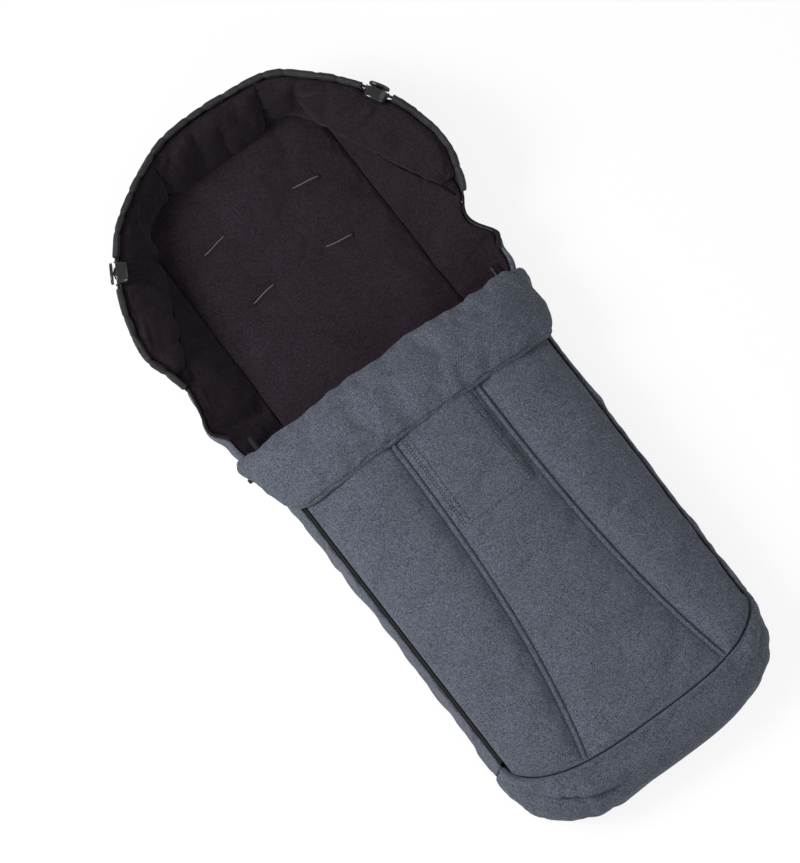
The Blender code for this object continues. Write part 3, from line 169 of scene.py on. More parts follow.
class FootmuffColours(bpy.types.PropertyGroup):
    """Colours of the cloths and fittings."""

    softshell: bpy.props.FloatVectorProperty(
        name="Softshell", description="Blue-grey outer cloth", subtype="COLOR", size=3, min=0, max=1,
        default=(0.022, 0.0265, 0.037),
    )
    softshell_fleck: bpy.props.FloatVectorProperty(
        name="Softshell fleck", description="Light yarn in the outer cloth", subtype="COLOR", size=3,
        min=0, max=1, default=(0.143, 0.158, 0.200),
    )
    fleece: bpy.props.FloatVectorProperty(
        name="Fleece", description="Dark fleece of the pad and linings", subtype="COLOR", size=3,
        min=0, max=1, default=(0.0195, 0.0130, 0.0188),
    )
    nylon: bpy.props.FloatVectorProperty(
        name="Nylon", description="Black nylon of the hood and back", subtype="COLOR", size=3,
        min=0, max=1, default=(0.0155, 0.0144, 0.0176),
    )
    plastic: bpy.props.FloatVectorProperty(
        name="Plastic", description="Moulded cord locks", subtype="COLOR", size=3, min=0, max=1,
        default=(0.0105, 0.0098, 0.0112),
    )
    thread: bpy.props.FloatVectorProperty(
        name="Thread", description="Topstitching", subtype="COLOR", size=3, min=0, max=1,
        default=(0.012, 0.013, 0.018),
    )


class FootmuffCloth(bpy.types.PropertyGroup):
    """Fullness of the cloths and size of the stitches."""

    cover_fullness: bpy.props.FloatProperty(
        name="Cover fullness", description="How much larger the cover's cloth is than its frame",
        default=0.012, min=0, max=0.1, subtype="FACTOR",
    )
    lining_fullness: bpy.props.FloatProperty(
        name="Lining fullness", description="How much larger the linings are than their frame",
        default=0.035, min=0, max=0.1, subtype="FACTOR",
    )
    wall_fullness: bpy.props.FloatProperty(
        name="Wall fullness", description="How much larger the side walls and toe cap are",
        default=0.02, min=0, max=0.1, subtype="FACTOR",
    )
    step: bpy.props.FloatProperty(
        name="Grid step", description="Distance between the threads of the cloth grids",
        default=0.0055, min=0.002, max=0.02, unit="LENGTH",
    )
    stitch_length: bpy.props.FloatProperty(
        name="Stitch length", description="Length of one topstitch", default=0.0030, min=0.001,
        max=0.01, unit="LENGTH",
    )
    stitch_gap: bpy.props.FloatProperty(
        name="Stitch gap", description="Gap between stitches", default=0.0011, min=0.0002,
        max=0.01, unit="LENGTH",
    )


class FootmuffStudio(bpy.types.PropertyGroup):
    """Camera and light."""

    azimuth: bpy.props.FloatProperty(
        name="Azimuth", description="Camera's direction round the muff", default=math.radians(-32),
        subtype="ANGLE",
    )
    elevation: bpy.props.FloatProperty(
        name="Elevation", description="Camera's angle above the floor", default=math.radians(74),
        subtype="ANGLE",
    )
    roll: bpy.props.FloatProperty(
        name="Roll", description="Camera's turn about its own line of sight",
        default=math.radians(-4.55), subtype="ANGLE",
    )
    distance: bpy.props.FloatProperty(
        name="Distance", description="From the camera to the muff", default=6, min=1, unit="LENGTH",
    )
    view_height: bpy.props.FloatProperty(
        name="View height", description="Height of the view at the muff",
        default=PICTURE_SIZE[1] / PICTURE_SCALE, min=0.1, unit="LENGTH",
    )


# The wall, the cover's arch and the pad's edge


def zip_line(y):
    share = (y - ZIP_FOOT_Y) / (ZIP_HEAD_Y - ZIP_FOOT_Y)
    x = ZIP_FOOT_X + (ZIP_HEAD_X - ZIP_FOOT_X) * share
    z = ZIP_FOOT_Z + (ZIP_HEAD_Z - ZIP_FOOT_Z) * share
    return np.array((x, y, z))


def zip_axes():
    """Along the right zip towards the head, across it towards the cover, and out of the cloth."""
    along = zip_line(ZIP_HEAD_Y) - zip_line(ZIP_FOOT_Y)
    along /= np.linalg.norm(along)
    across = np.array((-math.cos(ZIP_SLOPE), 0, math.sin(ZIP_SLOPE)))
    out = np.cross(along, across)
    return along, across, out / np.linalg.norm(out)


def bulge_line(y):
    return zip_line(y) + np.array((math.cos(ZIP_SLOPE), 0, -math.sin(ZIP_SLOPE))) * BULGE_REACH


def back_line(y):
    share = (y - ZIP_FOOT_Y) / (ZIP_HEAD_Y - ZIP_FOOT_Y)
    return np.array((BACK_FOOT_X + (BACK_HEAD_X - BACK_FOOT_X) * share, y, BACK_TOP))


def pad_line(y):
    return np.array((PAD_HALF_WIDTH + GAP, y, PAD_BOTTOM))


LINES = {"back": back_line, "bulge": bulge_line, "rim": zip_line, "pad": pad_line}
SHARES = {"back": BACK_SHARES, "bulge": BULGE_SHARES, "rim": RIM_SHARES, "pad": PAD_EDGE_SHARES}
MIRROR = np.array((-1.0, 1.0, 1.0))


def hood_stations(guide):
    points = [LINES[guide](ZIP_HEAD_Y)]
    for row in SHARES[guide]:
        width = PAD_HALF_WIDTH + GAP if guide == "pad" else HALF_WIDTH
        height = row[2] * RIM_HEIGHT if len(row) == 3 else points[0][2]
        points.append(np.array((row[0] * width, row[1] * LENGTH, height)))
    return points


HOOD = {guide: hood_stations(guide) for guide in LINES}


def unit(v):
    return v / np.linalg.norm(v)


def unit_rows(vectors):
    return vectors / np.linalg.norm(vectors, axis=-1, keepdims=True)


def distances(line):
    """Each point's distance from the first, measured along the line of points."""
    return np.concatenate(([0], np.cumsum(np.linalg.norm(np.diff(line, axis=0), axis=1))))


def along_line(places, along, values):
    """Rows of values at these distances along a line."""
    return np.stack([np.interp(places, along, values[:, i]) for i in range(values.shape[1])], -1)


def hood_point(guide, place):
    points = HOOD[guide]
    last = len(points) - 1
    index = min(int(place - ZIP_HEAD), last - 1)
    s = place - ZIP_HEAD - index

    def station(k):
        if k < 0:
            return LINES[guide](ZIP_FOOT_Y)
        return points[2 * last - k] * MIRROR if k > last else points[k]

    def slope(k):
        if k == 0:
            return unit(points[0] - LINES[guide](ZIP_FOOT_Y))
        first = LOCK_FOOT - ZIP_HEAD
        if k in (first, first + 1):
            return unit(points[first + 1] - points[first])
        before, here, after = station(k - 1), station(k), station(k + 1)
        return (after - before) / (np.linalg.norm(after - here) + np.linalg.norm(here - before))

    start, end = points[index], points[index + 1]
    chord = np.linalg.norm(end - start)
    s2, s3 = s * s, s**3
    return (
        start * (2 * s3 - 3 * s2 + 1)
        + slope(index) * chord * (s3 - 2 * s2 + s)
        + end * (3 * s2 - 2 * s3)
        + slope(index + 1) * chord * (s3 - s2)
    )


def arch_centre(y):
    toe_y = ZIP_FOOT_Y - TOE_SEAM_DEPTH
    share = (y - toe_y) / (MOUTH_Y - toe_y)
    return TOE_HEIGHT + (MOUTH_HEIGHT - TOE_HEIGHT) * share + COVER_SWELL * 4 * share * (1 - share)


def arch(across, y, height=0.0):
    """Points of the cover's face, raised by a height, for arrays of places across and along it."""
    across, y = np.broadcast_arrays(np.asarray(across, float), np.asarray(y, float))
    a, side = np.abs(across), np.where(across < 0, -1.0, 1.0)
    edge = zip_line(y)
    inner = np.minimum(a, 1)
    beyond = np.maximum(a - 1, 0)
    px, pz = COVER_EDGE_PULL * math.cos(ZIP_SLOPE), -COVER_EDGE_PULL * math.sin(ZIP_SLOPE)
    top = arch_centre(y)
    a2, a3 = inner**2, inner**3
    x = COVER_TOP_PULL * (a3 - 2 * a2 + inner) + edge[0] * (3 * a2 - 2 * a3) + px * (a3 - a2 + beyond)
    z = top * (2 * a3 - 3 * a2 + 1) + edge[2] * (3 * a2 - 2 * a3) + pz * (a3 - a2 + beyond)
    sx = -edge[0] * (6 * a2 - 6 * inner) + COVER_TOP_PULL * (3 * a2 - 4 * inner + 1)
    sx += px * (3 * a2 - 2 * inner)
    sz = (top - edge[2]) * (6 * a2 - 6 * inner) + pz * (3 * a2 - 2 * inner)
    size = np.hypot(sx, sz)
    x, z = x - sz / size * height, z + sx / size * height
    return np.stack((side * x, y + 0 * x, z), -1)


def toe_share(across):
    return np.minimum(arch(np.abs(across), ZIP_FOOT_Y)[..., 0] / ZIP_FOOT_X, 1)


def toe_depth(share, depth, power):
    return depth * np.sqrt(np.maximum(1 - share**power, 0))


def seam_y(across):
    return ZIP_FOOT_Y - toe_depth(toe_share(across), TOE_SEAM_DEPTH, TOE_POWER)


def toe_point(guide, across):
    share = float(toe_share(across))
    if guide == "rim":
        return arch(across, float(seam_y(across)))
    start = LINES[guide](ZIP_FOOT_Y)
    depth, power = {
        "back": (TOE_BACK_DEPTH, TOE_BACK_POWER),
        "bulge": (TOE_BULGE_DEPTH, TOE_POWER),
        "pad": (TOE_PAD_DEPTH, TOE_BACK_POWER),
    }[guide]
    height = start[2]
    if guide == "bulge":
        height = TOE_BULGE_Z + (start[2] - TOE_BULGE_Z) * share**TOE_BULGE_POWER
    return np.array((start[0] * share, ZIP_FOOT_Y - float(toe_depth(share, depth, power)), height))


def guide_point(guide, place):
    if place < 0:
        return guide_point(guide, -place) * MIRROR
    if place > HEAD_MIDDLE:
        return guide_point(guide, 2 * HEAD_MIDDLE - place) * MIRROR
    if place <= ZIP_FOOT:
        return toe_point(guide, place)
    if place <= ZIP_HEAD:
        return LINES[guide](ZIP_FOOT_Y + (ZIP_HEAD_Y - ZIP_FOOT_Y) * (place - ZIP_FOOT))
    return hood_point(guide, place)


def wall_grid(places, rises, depths=0.0):
    """Points of the wall: one column for each place and one row for each row of rises."""
    step = 1e-4
    columns = []
    for place in places:
        side = -1 if place < 0 or place > HEAD_MIDDLE else 1
        p = folded(place)
        here, ahead, behind = (
            np.array([guide_point(g, q) for g in ("back", "bulge", "rim")]) for q in (p, p + step, p - step)
        )
        forward = ahead - behind
        if p < step:
            forward[:] = (1, 0, 0)
        elif abs(p - ZIP_FOOT) < step:
            forward[:] = zip_axes()[0]
        columns.append((here, forward, side))
    rises = np.asarray(rises, float)
    if rises.ndim == 1:
        rises = np.repeat(rises[:, None], len(columns), axis=1)
    depths = np.broadcast_to(np.asarray(depths, float), rises.shape)
    out = np.empty(rises.shape + (3,))
    for k, (here, forward, side) in enumerate(columns):
        v = rises[:, k, None]
        point = here[0] * (1 - v) ** 2 + here[1] * 2 * v * (1 - v) + here[2] * v**2
        ahead = forward[0] * (1 - v) ** 2 + forward[1] * 2 * v * (1 - v) + forward[2] * v**2
        up = (here[1] - here[0]) * (1 - v) + (here[2] - here[1]) * v
        normal = unit_rows(np.cross(ahead, up))
        out[:, k] = point - normal * depths[:, k, None]
        if side < 0:
            out[:, k] *= MIRROR
    return out


def folded(place):
    place = abs(place)
    return 2 * HEAD_MIDDLE - place if place > HEAD_MIDDLE else place


def top_rise(place, margin):
    place = folded(place)
    span = np.linalg.norm(guide_point("rim", place) - guide_point("bulge", place)) * 2
    return 1 - margin / span


def rise_at_height(place, height):
    back, bulge, rim = (guide_point(g, folded(place))[2] for g in ("back", "bulge", "rim"))
    low, high = 0.0, 1.0
    for _ in range(30):
        v = (low + high) / 2
        if back * (1 - v) ** 2 + bulge * 2 * v * (1 - v) + rim * v * v < height:
            low = v
        else:
            high = v
    return high


def rim_margin(place):
    beside = abs(folded(place) - (LOCK_FOOT + LOCK_HEAD) / 2) * 2
    return LOCK_MARGIN + (RIM_MARGIN - LOCK_MARGIN) * min(max(2 * beside - 1, 0), 1)


def seam_across(share):
    return SEAM_MOUTH_SHARE + SEAM_FLARE_SHARE * (1 - share) ** SEAM_FLARE_POWER


# Cloth


def grid_faces(rows, columns, offset=0):
    index = np.arange(rows * columns).reshape(rows, columns) + offset
    a, b, c, d = index[:-1, :-1], index[:-1, 1:], index[1:, 1:], index[1:, :-1]
    return np.stack((a, b, c, d), -1).reshape(-1, 4)


def ring_faces(count, sides, offset=0, flip=False, closed=False):
    """Faces between rings of points, and from the last ring to the first where it is closed."""
    faces = []
    for r in range(count if closed else count - 1):
        ahead = (r + 1) % count
        for s in range(sides):
            n = (s + 1) % sides
            face = (r * sides + s, r * sides + n, ahead * sides + n, ahead * sides + s)
            faces.append(tuple(offset + i for i in (face[::-1] if flip else face)))
    return faces


def capped_faces(count, sides, flip=False):
    """Faces between rings of points, with a face over each end."""
    first = tuple(range(sides))
    last = tuple(range((count - 1) * sides, count * sides))
    ends = [first, last[::-1]] if flip else [first[::-1], last]
    return ring_faces(count, sides, 0, flip) + ends


def shifted(faces, offset):
    return [tuple(offset + i for i in face) for face in faces]


def circle(sides):
    return np.linspace(0, 2 * math.pi, sides, endpoint=False)


def rings_around(points, side, up, angle, size):
    """A ring of points round each point of a line, at these radii."""
    flat = side[:, None] * np.cos(angle)[:, None] + up[:, None] * np.sin(angle)[:, None]
    return points[:, None] + flat * size


def mesh_from(name, points, faces):
    mesh = bpy.data.meshes.new(name)
    mesh.from_pydata([tuple(p) for p in points], [], [tuple(int(i) for i in f) for f in faces])
    mesh.validate()
    mesh.update()
    return mesh


def held(grid, foot=1, head=1, sides=1):
    """Which points the seams hold: so many lines of the grid at its foot, its head and both its sides."""
    pinned = np.zeros(grid.shape[:2], bool)
    pinned[:foot], pinned[-head:], pinned[:, :sides], pinned[:, -sides:] = True, True, True, True
    return pinned


def add_object(name, mesh):
    obj = bpy.data.objects.new(name, mesh)
    bpy.context.scene.collection.objects.link(obj)
    return obj


def shell_mesh(name, outer, inner):
    """A closed piece between two grids of points."""
    rows, columns = outer.shape[:2]
    count = rows * columns
    points = np.concatenate((outer.reshape(-1, 3), inner.reshape(-1, 3)))
    front = grid_faces(rows, columns)
    rear = grid_faces(rows, columns, count)[:, ::-1]
    index = np.arange(count).reshape(rows, columns)
    border = np.concatenate((index[0, :-1], index[:-1, -1], index[-1, :0:-1], index[:0:-1, 0]))
    ahead = np.roll(border, -1)
    sides = np.stack((ahead, border, border + count, ahead + count), -1)
    return mesh_from(name, points, np.concatenate((front, rear, sides)))


def wobble(points, size, height, seed=0.0):
    """Smooth random heights at these points."""
    flat = points.reshape(-1, 3)
    out = np.array([noise.noise(Vector(p / size) + Vector((seed, seed * 0.7, -seed))) for p in flat])
    return out.reshape(points.shape[:-1]) * height


def grid_normals(grid):
    across = np.gradient(grid, axis=1)
    along = np.gradient(grid, axis=0)
    normal = np.cross(across, along)
    return normal / np.maximum(np.linalg.norm(normal, axis=-1, keepdims=True), 1e-12)


CLOTH_SETTINGS = {
    "quality": 4,
    "mass": 0.25,
    "tension_stiffness": 20,
    "compression_stiffness": 12,
    "shear_stiffness": 8,
    "bending_stiffness": 0.4,
    "air_damping": 3,
    "vertex_group_mass": "seams",
    "use_pressure": True,
}
CLOTH_NOISE_SIZE, CLOTH_NOISE_HEIGHT = 0.03, 0.0012


def filled(grid, pinned, fullness, pressure=3.0, cap=0.008, frames=14, facing=1, seed=1.0):
    """The grid after a short cloth simulation: cut larger by its fullness, pushed out between its seams.

    No point moves further than the cap.
    """
    normal = grid_normals(grid) * facing
    noisy = wobble(grid, CLOTH_NOISE_SIZE, CLOTH_NOISE_HEIGHT, seed)
    start = grid + normal * (noisy * ~pinned)[..., None]
    rows, columns = grid.shape[:2]
    faces = grid_faces(rows, columns)
    if facing < 0:
        faces = faces[:, ::-1]
    obj = add_object("cloth_at_work", mesh_from("cloth_at_work", start.reshape(-1, 3), faces))
    group = obj.vertex_groups.new(name="seams")
    group.add([int(i) for i in np.flatnonzero(pinned.reshape(-1))], 1.0, "REPLACE")
    cloth = obj.modifiers.new("cloth", "CLOTH")
    settings = cloth.settings
    for key, value in CLOTH_SETTINGS.items():
        setattr(settings, key, value)
    settings.effector_weights.gravity = 0
    settings.shrink_min = -fullness
    settings.uniform_pressure_force = pressure
    cloth.collision_settings.use_collision = False
    cloth.point_cache.frame_start = 1
    cloth.point_cache.frame_end = frames
    scene = bpy.context.scene
    for number in range(1, frames + 1):
        scene.frame_set(number)
    evaluated = obj.evaluated_get(bpy.context.evaluated_depsgraph_get())
    found = np.empty(rows * columns * 3, np.float32)
    evaluated.data.vertices.foreach_get("co", found)
    bpy.data.objects.remove(obj, do_unlink=True)
    scene.frame_set(1)
    move = found.reshape(grid.shape).astype(float) - grid
    size = np.linalg.norm(move, axis=-1, keepdims=True)
    return grid + move * np.minimum(1, cap / np.maximum(size, 1e-9))


def pillow(distance, height, reach):
    """How far padded cloth stands out at this distance from its nearest seam."""
    return height * (1 - np.exp(-np.maximum(distance, 0) / reach))


def spans(grid, axis):
    """Each point's distance from the grid's first line and from its last, along the cloth."""
    steps = np.linalg.norm(np.diff(grid, axis=axis), axis=-1)
    start = np.concatenate((np.zeros_like(np.take(steps, [0], axis)), np.cumsum(steps, axis)), axis)
    return start, np.take(start, [-1], axis) - start


def creased(grid, normal, creases):
    """The grid with creases pressed in: each runs between two points in plan, with a depth and a width."""
    move = np.zeros(grid.shape[:2])
    for start, end, depth, width in creases:
        start, run = np.array(start), np.array(end) - np.array(start)
        offset = grid[..., :2] - start
        share = np.clip(offset @ run / (run @ run), 0, 1)
        away = np.linalg.norm(offset - share[..., None] * run, axis=-1) / width
        strength = depth * (0.35 + 0.65 * np.sin(math.pi * share))
        move += strength * (0.4 * np.exp(-((away - 2.2) ** 2) / 1.6) - np.exp(-(away**2)))
    return grid + normal * move[..., None]


def hill(value, middle, reach):
    """One at the middle, falling smoothly to nothing at this reach on either side."""
    return np.cos(np.clip((value - middle) / reach, -1, 1) * math.pi / 2) ** 2


# How far each wall sags outward: places in metres along Y, and millimetres there
SAG_LEFT = (
    (0.02, 0.09, 0.12, 0.14, 0.16, 0.18, 0.20, 0.22, 0.24, 0.26, 0.28, 0.30, 0.32, 0.34, 0.36),
    (0, 5, 19, 20, 13, 8, 10, 9.5, 8, 7.5, 6.5, 1.5, -2, -1, 0),
)
SAG_RIGHT = (
    (0.08, 0.11, 0.13, 0.145, 0.16, 0.18, 0.20, 0.22, 0.24, 0.26, 0.28, 0.30, 0.32, 0.34, 0.36),
    (3, 15, 22, 21, 3, -11, -11, 8, 9.5, 5.5, 2, -1.5, -4, -2.5, 0),
)

MM = 0.001
SAG_SPREADS = (-0.008, -0.004, 0, 0.004, 0.008)
HEAD_PUSH = 0.011
CORNER_PUSH = 0.003
LEFT_WALL_FLATTER = 0.005


def askew(points):
    """The soft walls as they lie off the straight frame, up to 21 mm beside the mouth."""
    x, y, z = (points[..., k] for k in range(3))
    left, right = np.clip((-x - 0.13) / 0.06, 0, 1), np.clip((x - 0.13) / 0.06, 0, 1)
    along, to_left, to_right = np.linspace(-0.4, 0.4, 161), np.zeros(161), np.zeros(161)
    for spread in SAG_SPREADS:
        to_left += MM / len(SAG_SPREADS) * np.interp(along + spread, *SAG_LEFT, left=0)
        to_right += MM / len(SAG_SPREADS) * np.interp(along + spread, *SAG_RIGHT, left=0)
    move = np.zeros_like(points)
    move[..., 0] += np.interp(y, along, to_right) * right - np.interp(y, along, to_left) * left
    flatter = np.interp(y, (-0.33, -0.29, -0.03, 0.02), (0, LEFT_WALL_FLATTER, LEFT_WALL_FLATTER, 0))
    move[..., 0] += flatter * hill(z, 0.03, 0.03) * left
    move[..., 1] += HEAD_PUSH * hill(x, 0.13, 0.095) * np.clip((y - 0.42) / 0.05, 0, 1)
    corner = hill(np.hypot(x + 0.10, y - 0.475), 0, 0.075)
    move[..., 0] += CORNER_PUSH * corner
    move[..., 1] -= CORNER_PUSH * corner
    return points + move * np.clip(z / 0.05, 0, 1)[..., None]


# Not a body: the cuff's cloth runs from the cover's body over to the cuff's, and is attached to neither
CUFF_FOLD = "cuff_fold"


def finish_piece(obj, material, body, replaces=(), levels=1):
    """Smooth shading, the finish, and what the piece rides on and stands for."""
    obj.data.materials.append(material)
    obj.data.shade_smooth()
    if levels:
        modifier = obj.modifiers.new("fine_surface", "SUBSURF")
        modifier.levels = levels
        modifier.render_levels = levels
    if body == CUFF_FOLD:
        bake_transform(obj)
    else:
        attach(obj, body)
    if replaces:
        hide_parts(*replaces)
    return obj


def frame_mesh(node, material):
    """A copy of a frame node's mesh in this finish."""
    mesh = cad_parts[node].data.copy()
    mesh.materials.clear()
    mesh.materials.append(finish(material))
    return mesh


def dress_node(name, mesh, node, body, width, angle):
    """A piece in the frame node's own shape, its sharp edges rounded."""
    obj = add_object(name, mesh)
    bevel = obj.modifiers.new("soft_edge", "BEVEL")
    bevel.width = width
    bevel.segments = 2
    bevel.limit_method = "ANGLE"
    bevel.angle_limit = math.radians(angle)
    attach(obj, body)
    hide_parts(node)


# Materials


class Nodes:
    """Short hand for building a material's nodes."""

    def __init__(self, name):
        self.material = bpy.data.materials.new(name)
        self.material.use_nodes = True
        self.tree = self.material.node_tree
        self.shader = self.tree.nodes["Principled BSDF"]
        self.coords = self.add("ShaderNodeTexCoord").outputs["Object"]

    def add(self, kind, links=None, **values):
        node = self.tree.nodes.new(kind)
        for key, value in values.items():
            setattr(node, key, value)
        for key, value in (links or {}).items():
            socket = node.inputs[key]
            if isinstance(value, bpy.types.NodeSocket):
                self.tree.links.new(value, socket)
            else:
                socket.default_value = value
        return node

    def link(self, output, socket):
        self.tree.links.new(output, self.shader.inputs[socket])

    def scaled(self, scale):
        return self.add("ShaderNodeMapping", {"Vector": self.coords, "Scale": scale}).outputs["Vector"]

    def noise(self, scale, detail=2.0, vector=None, roughness=0.5):
        return self.add(
            "ShaderNodeTexNoise",
            {"Vector": vector or self.coords, "Scale": scale, "Detail": detail, "Roughness": roughness},
        ).outputs["Fac"]

    def spread(self, value, low, high, to_low=0.0, to_high=1.0):
        node = self.add(
            "ShaderNodeMapRange",
            {"Value": value, "From Min": low, "From Max": high, "To Min": to_low, "To Max": to_high},
        )
        return node.outputs["Result"]

    def mix(self, factor, a, b, blend="MIX"):
        node = self.add("ShaderNodeMix", data_type="RGBA", blend_type=blend)
        for socket, value in ((node.inputs[0], factor), (node.inputs[6], a), (node.inputs[7], b)):
            if isinstance(value, bpy.types.NodeSocket):
                self.tree.links.new(value, socket)
            elif isinstance(value, float):
                socket.default_value = value
            else:
                socket.default_value = (*value, 1)
        return node.outputs[2]

    def math(self, operation, a, b=0.0):
        return self.add("ShaderNodeMath", {0: a, 1: b}, operation=operation).outputs[0]

    def cells(self, scale, vector=None):
        """A random grey for each small cell."""
        node = self.add("ShaderNodeTexVoronoi", {"Vector": vector or self.coords, "Scale": scale})
        return self.add("ShaderNodeSeparateColor", {"Color": node.outputs["Color"]}).outputs[0]

    def grey(self, value):
        parts = {"Red": value, "Green": value, "Blue": value}
        return self.add("ShaderNodeCombineColor", parts).outputs["Color"]

    def bump(self, height, distance, strength=1.0, onto=None):
        links = {"Height": height, "Distance": distance, "Strength": strength}
        if onto:
            links["Normal"] = onto
        return self.add("ShaderNodeBump", links).outputs["Normal"]

    def marked(self, marks, dark, light, rough, bump):
        """Colour, roughness and a fine bump that follow the same marks."""
        self.link(self.mix(self.spread(marks, 0.3, 0.7), dark, light), "Base Color")
        self.link(self.bump(marks, *bump), "Normal")
        self.link(self.spread(marks, 0.3, 0.7, *rough), "Roughness")

    def wave(self, vector, direction, **values):
        links = {"Vector": vector, "Scale": 0.5, **values}
        return self.add("ShaderNodeTexWave", links, bands_direction=direction).outputs["Fac"]

    def surface(self, **values):
        for key, value in values.items():
            self.shader.inputs[key.replace("_", " ")].default_value = value


def shades(colour, dark, light):
    """A darker and a lighter shade of a colour."""
    return tuple(c * dark for c in colour), tuple(c * light for c in colour)


def softshell_material(colours):
    """Melange softshell: dark and light yarns spun together, with a soft matt face."""
    m = Nodes("melange_softshell")
    coarse, fine = m.math("MULTIPLY", m.cells(1250), 0.6), m.math("MULTIPLY", m.cells(2000), 0.4)
    grain = m.math("ADD", coarse, fine)
    fibre = m.noise(1, 3, m.scaled((700, 1300, 1000)), 0.65)
    share = m.spread(m.math("ADD", grain, m.math("MULTIPLY", fibre, 0.35)), 0.42, 1.12)
    cloudy = m.spread(m.noise(26, 3), 0.3, 0.7, 0.94, 1.06)
    yarn = m.mix(share, tuple(colours.softshell), tuple(colours.softshell_fleck))
    m.link(m.mix(1.0, yarn, m.grey(cloudy), "MULTIPLY"), "Base Color")
    weave = m.bump(fibre, 0.0005, 0.5)
    m.link(m.bump(m.noise(160, 3), 0.0008, 0.22, weave), "Normal")
    m.link(m.spread(fibre, 0.3, 0.7, 0.8, 0.95), "Roughness")
    m.surface(Sheen_Weight=0.08, Sheen_Roughness=0.5, Specular_IOR_Level=0.2)
    return m.material


def fleece_material(colours, name="brushed_fleece", depth=1.0):
    """Short brushed fleece with a soft clumped pile; a depth below one darkens the whole fleece, as painted
    shade.
    """
    m = Nodes(name)
    pile = m.noise(700, 4, roughness=0.7)
    tufts = m.math("ADD", m.math("MULTIPLY", m.cells(780), 0.6), m.math("MULTIPLY", pile, 0.4))
    brushed = m.spread(m.noise(16, 2), 0.3, 0.7, 0.9, 1.1)
    dark, light = shades(colours.fleece, 0.45 * depth, 1.6 * depth)
    wool = m.mix(m.spread(tufts, 0.1, 0.9), dark, light)
    m.link(m.mix(1.0, wool, m.grey(brushed), "MULTIPLY"), "Base Color")
    normal = m.bump(pile, 0.0011, 0.7)
    m.link(m.bump(m.noise(95, 3, roughness=0.6), 0.002, 0.4, normal), "Normal")
    m.link(m.spread(pile, 0.3, 0.7, 0.88, 1.0), "Roughness")
    m.surface(Sheen_Weight=0.05, Sheen_Roughness=0.45, Specular_IOR_Level=0.1)
    return m.material


def nylon_material(colours):
    """Plain-woven black nylon, smooth with a low sheen and small creases."""
    m = Nodes("woven_nylon")
    grid = m.scaled((1900, 1900, 1900))
    weave = m.math("MULTIPLY", m.wave(grid, "X"), m.wave(grid, "Y"))
    creases = m.noise(75, 5, roughness=0.6)
    worn = m.spread(m.noise(30, 3), 0.35, 0.7, 0.85, 1.25)
    m.link(m.mix(1.0, tuple(colours.nylon), m.grey(worn), "MULTIPLY"), "Base Color")
    normal = m.bump(weave, 0.0002, 0.4)
    m.link(m.bump(creases, 0.0018, 0.55, normal), "Normal")
    m.link(m.spread(creases, 0.3, 0.7, 0.5, 0.7), "Roughness")
    m.surface(Sheen_Weight=0.1, Sheen_Roughness=0.3, Specular_IOR_Level=0.3)
    return m.material


def plastic_material(colours):
    """Glossy moulded plastic with faint flow marks."""
    m = Nodes("moulded_plastic")
    m.marked(m.noise(220, 3), *shades(colours.plastic, 1, 1.3), (0.14, 0.26), (0.0001, 0.3))
    m.surface(Specular_IOR_Level=0.5, Coat_Weight=0.4, Coat_Roughness=0.1)
    return m.material


def tape_material(colours):
    """Herringbone zip tape and webbing."""
    m = Nodes("woven_tape")
    ribs = m.wave(m.scaled((1300, 1300, 1300)), "DIAGONAL", Distortion=1.0)
    grain = m.noise(900, 2)
    m.link(m.mix(m.spread(grain, 0.3, 0.7), *shades(colours.nylon, 0.3, 0.6)), "Base Color")
    m.link(m.bump(ribs, 0.0002, 0.7), "Normal")
    m.link(m.spread(grain, 0.3, 0.7, 0.62, 0.8), "Roughness")
    m.surface(Sheen_Weight=0.05, Specular_IOR_Level=0.3)
    return m.material


def metal_material(name, colour, roughness):
    """Plated metal with fine scratches."""
    m = Nodes(name)
    marks = m.noise(1, 3, m.scaled((300, 1600, 900)))
    m.marked(marks, *shades(colour, 1, 1.5), (roughness * 0.8, roughness * 1.25), (0.00005, 0.4))
    m.surface(Metallic=1.0)
    return m.material


def thread_material(colours):
    """Twisted sewing thread."""
    m = Nodes("sewing_thread")
    m.marked(m.noise(2600, 2), *shades(colours.thread, 0.75, 1.35), (0.5, 0.7), (0.0002, 0.6))
    m.surface(Specular_IOR_Level=0.35)
    return m.material


def slit_highlight_material():
    """A pale strip inside a harness slit: a painted highlight along the slit's lips."""
    m = Nodes("slit_painted_highlight")
    m.marked(m.noise(1800, 3), (0.075, 0.068, 0.075), (0.16, 0.15, 0.16), (0.6, 0.8), (0.0002, 0.6))
    return m.material


def wadding_material():
    """White polyester wadding."""
    m = Nodes("wadding")
    fibre = m.noise(240, 5, roughness=0.7)
    m.marked(fibre, (0.68, 0.67, 0.65), (0.82, 0.81, 0.79), (0.88, 1.0), (0.0012, 0.6))
    m.surface(Sheen_Weight=0.2, Sheen_Roughness=0.5)
    return m.material


finishes = {}


def finish(name):
    """The material of this name, made once from the scene's colours."""
    if name not in finishes:
        colours = bpy.context.scene.footmuff_colours
        finishes[name] = {
            "softshell": lambda: softshell_material(colours),
            "fleece": lambda: fleece_material(colours),
            # Painted shade: the linings' fleece is the pad's fleece darkened to stand for the shade inside
            # the muff
            "lining": lambda: fleece_material(colours, "shaded_lining_fleece", 0.80),
            # Painted shade: the seam bindings' fleece is darkened to near-black to stand for the shade in the
            # seams
            "seam": lambda: fleece_material(colours, "shaded_seam_fleece", 0.22),
            "nylon": lambda: nylon_material(colours),
            "plastic": lambda: plastic_material(colours),
            "tape": lambda: tape_material(colours),
            "gunmetal": lambda: metal_material("gunmetal", (0.11, 0.11, 0.12), 0.34),
            "steel": lambda: metal_material("spring_steel", (0.30, 0.30, 0.31), 0.28),
            "thread": lambda: thread_material(colours),
            # Painted highlight: the pale strip inside each harness slit
            "slit": slit_highlight_material,
            "wadding": wadding_material,
        }[name]()
    return finishes[name]


# Stitches


